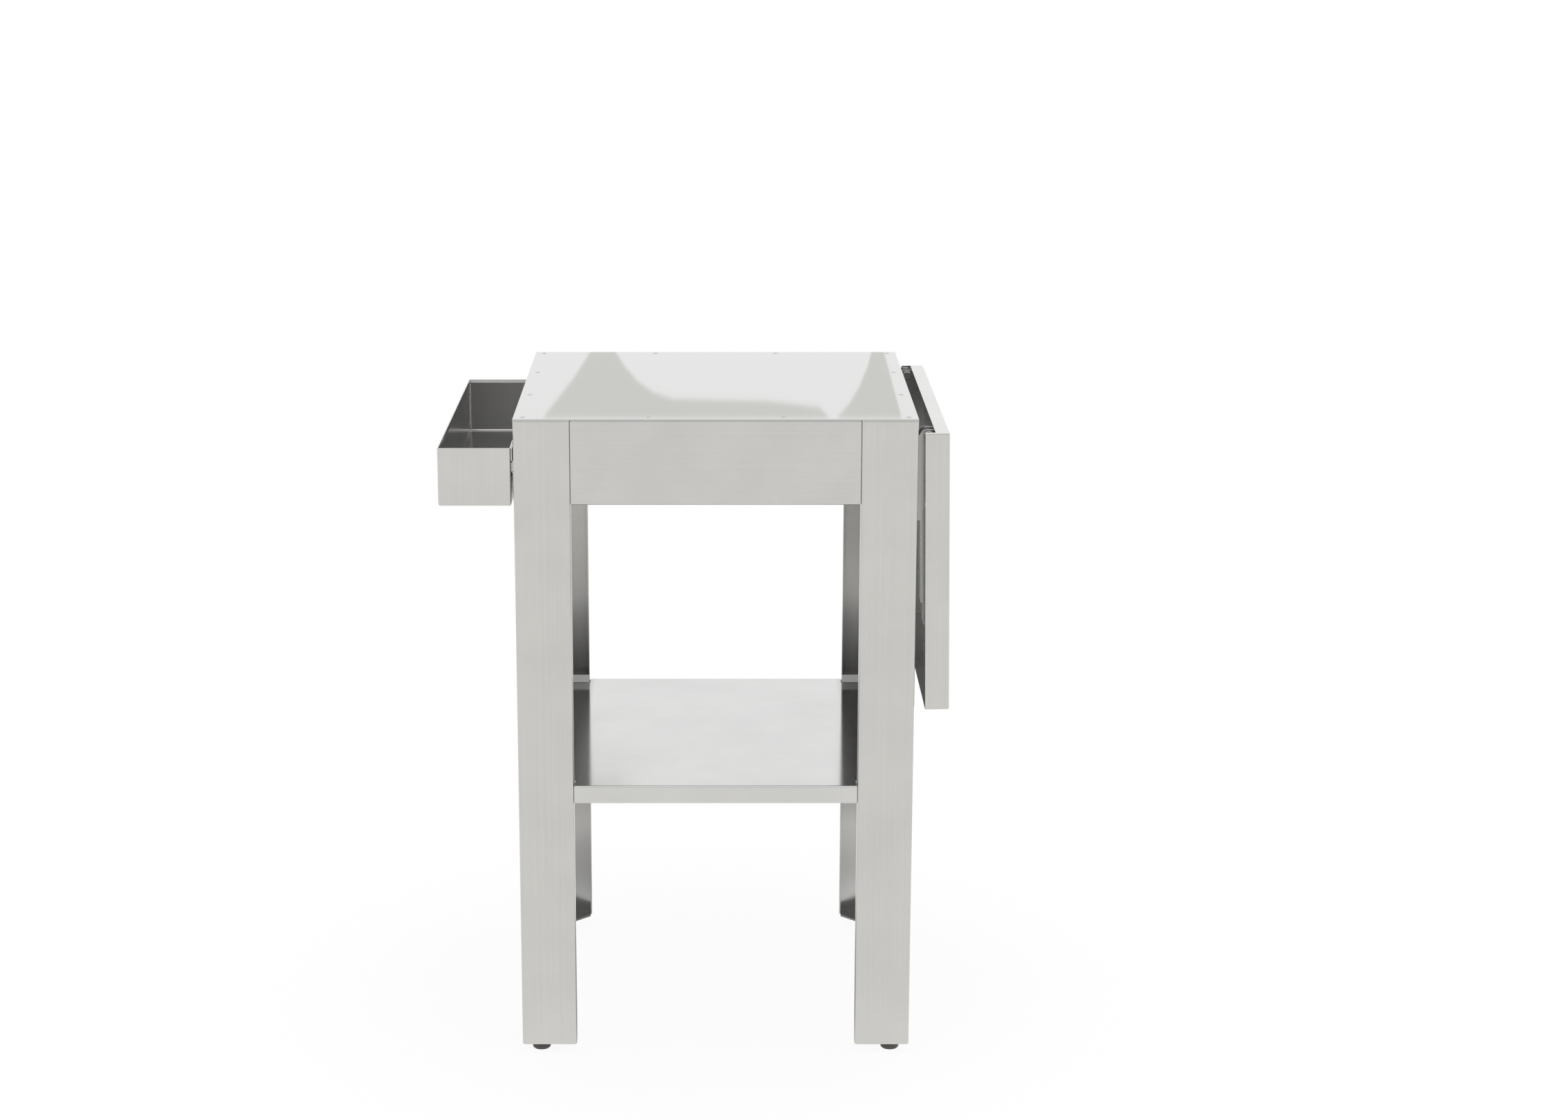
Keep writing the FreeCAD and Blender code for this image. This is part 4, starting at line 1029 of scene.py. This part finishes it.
# Studio
card_distance = 2.5
card_grey = (0.75, 0.75, 0.72, 1)
floor_reach = 20.0
floor_level = -0.0002
left_card_outline = [
    (-0.255, 1.28), (-0.205, 1.28), (-0.18, 1.32), (-0.15, 1.355), (-0.115, 1.38), (-0.07, 1.395),
    (0.15, 1.40), (0.265, 1.415), (0.29, 1.44), (-0.37, 1.44), (-0.30, 1.35)]
right_card_outline = [
    (0.385, 1.28), (0.41, 1.28), (0.455, 1.44), (0.305, 1.44), (0.335, 1.405), (0.355, 1.37), (0.375, 1.32)]


def ramp(tree, value, start, end, low, high):
    """A smooth change from low to high while a value goes from start to end."""
    node = tree.nodes.new("ShaderNodeMapRange")
    node.interpolation_type = "SMOOTHSTEP"
    for label, number in (("From Min", start), ("From Max", end), ("To Min", low), ("To Max", high)):
        node.inputs[label].default_value = number
    tree.links.new(value, node.inputs["Value"])
    return node.outputs["Result"]


def bare_material(name):
    """A new material that has no nodes yet."""
    material = bpy.data.materials.new(name)
    material.use_nodes = True
    material.node_tree.nodes.clear()
    return material


def mixed_surface(tree, share, first, second):
    """Ends a material with a mix of two shaders."""
    mix = tree.nodes.new("ShaderNodeMixShader")
    out = tree.nodes.new("ShaderNodeOutputMaterial")
    feed(tree, mix, (share, first, second))
    tree.links.new(mix.outputs["Shader"], out.inputs["Surface"])


def pale_floor():
    """A floor that is white to the camera but for a soft shadow, and darker near the stand in metal."""
    material = bare_material("pale_floor")
    tree = material.node_tree
    ray = tree.nodes.new("ShaderNodeLightPath").outputs
    seen = ray["Is Camera Ray"]
    mirrored = math_node(tree, "MAXIMUM", ray["Is Glossy Ray"], ray["Is Transmission Ray"])
    place = tree.nodes.new("ShaderNodeTexCoord").outputs["Object"]
    distance = vector_node(tree, "LENGTH", place)
    back = ramp(tree, split_node(tree, place)[1], start=-0.6, end=0.4, low=0.0, high=1.0)
    beyond = ramp(tree, distance, start=0.18, end=0.36, low=0.40, high=1.0)
    clear = ramp(tree, distance, start=0.30, end=0.80, low=0.93, high=1.0)
    lit = tree.nodes.new("ShaderNodeBsdfDiffuse")
    lit.inputs["Color"].default_value = (0.95, 0.945, 0.935, 1)
    tone = tree.nodes.new("ShaderNodeMix")
    tone.data_type = "RGBA"
    tone.inputs[colour_mix["A"]].default_value = (0.82, 0.814, 0.792, 1)
    tone.inputs[colour_mix["B"]].default_value = (1, 1, 1, 1)
    tree.links.new(math_node(tree, "MAXIMUM", back, seen), tone.inputs["Factor"])
    glow = tree.nodes.new("ShaderNodeEmission")
    tree.links.new(tone.outputs[colour_mix["Result"]], glow.inputs["Color"])
    tree.links.new(math_node(tree, "MAXIMUM", beyond, seen), glow.inputs["Strength"])
    share = math_node(tree, "MULTIPLY", clear, math_node(tree, "MAXIMUM", seen, mirrored))
    mixed_surface(tree, share, lit.outputs["BSDF"], glow.outputs["Emission"])
    return material


def studio_floor():
    """A wide floor that goes down with the stand's lowest foot."""
    mesh = bpy.data.meshes.new("studio_floor")
    sides = ((-1, -1), (1, -1), (1, 1), (-1, 1))
    points = [(x * floor_reach, y * floor_reach, floor_level) for x, y in sides]
    mesh.from_pydata(points, [], [range(len(points))])
    mesh.materials.append(pale_floor())
    floor = placed("studio_floor", mesh)
    follow = floor.driver_add("location", 2).driver
    follow.type = "MIN"
    for corner in corners:
        foot = follow.variables.new()
        foot.name = "foot_" + corner
        foot.type = "TRANSFORMS"
        foot.targets[0].id = bpy.data.objects["glide_pad_" + corner]
        foot.targets[0].transform_type = "LOC_Z"


def studio_surround():
    """White behind the stand and to the camera, pale elsewhere, dark straight in front and past the lamp."""
    pale, dark = 0.6, 0.18
    world = bpy.data.worlds.new("studio")
    bpy.context.scene.world = world
    world.use_nodes = True
    tree = world.node_tree
    across, back, up = split_node(tree, tree.nodes.new("ShaderNodeTexCoord").outputs["Generated"])
    aside = math_node(tree, "ABSOLUTE", across)
    before = ramp(tree, back, start=-0.92, end=-0.70, low=dark, high=pale)
    beside = ramp(tree, aside, start=0.10, end=0.24, low=0.0, high=pale)
    above = ramp(tree, up, start=0.36, end=0.46, low=0.0, high=pale)
    around = math_node(tree, "MAXIMUM", before, math_node(tree, "MAXIMUM", beside, above))
    behind = math_node(tree, "ADD", around, ramp(tree, back, start=0.05, end=0.6, low=0.0, high=1 - pale))
    horizon = ramp(tree, up, start=0.09, end=0.14, low=0.85, high=0.0)
    overhead = ramp(tree, up, start=0.70, end=0.85, low=1.0, high=0.1)
    room = math_node(tree, "MULTIPLY", math_node(tree, "MAXIMUM", behind, horizon), overhead)
    seen = tree.nodes.new("ShaderNodeLightPath").outputs["Is Camera Ray"]
    tree.links.new(math_node(tree, "MAXIMUM", room, seen), tree.nodes["Background"].inputs["Color"])


def grey_card(name, outline):
    """A grey card that stands far behind, which nothing but mirroring metal shows."""
    mesh = bpy.data.meshes.new(name)
    mesh.from_pydata([(x, card_distance, z) for x, z in outline], [], [range(len(outline))])
    material = bare_material(name)
    tree = material.node_tree
    unseen = tree.nodes.new("ShaderNodeBsdfTransparent")
    grey = tree.nodes.new("ShaderNodeEmission")
    grey.inputs["Color"].default_value = card_grey
    mirrored = tree.nodes.new("ShaderNodeLightPath").outputs["Is Glossy Ray"]
    mixed_surface(tree, mirrored, unseen.outputs["BSDF"], grey.outputs["Emission"])
    mesh.materials.append(material)
    placed(name, mesh)


def softbox(name, place, aim, size, energy):
    """A large soft lamp."""
    lamp = bpy.data.lights.new(name, "AREA")
    lamp.size = size
    lamp.energy = energy
    holder = placed(name, lamp)
    holder.location = place
    holder.rotation_euler = (Vector(aim) - Vector(place)).to_track_quat("-Z", "Y").to_euler()


def camera():
    """The photographer's place: straight in front, a little above the top."""
    lens = bpy.data.cameras.new("camera")
    lens.sensor_width = 36.0
    lens.lens = 67.64
    lens.shift_x = 0.0436
    lens.shift_y = 0.0196
    lens.clip_end = 100.0
    holder = placed("camera", lens)
    holder.location = (0.0273, -4.1614, 1.6545)
    holder.rotation_euler = (math.radians(75.884), 0, 0)
    bpy.context.scene.camera = holder


studio_floor()
studio_surround()
grey_card("left_card", left_card_outline)
grey_card("right_card", right_card_outline)
softbox("overhead_softbox", place=(0, -0.4, 3.8), aim=(0, 0, 0.4), size=6.0, energy=113.0)
camera()
bpy.context.scene.view_settings.view_transform = "Standard"
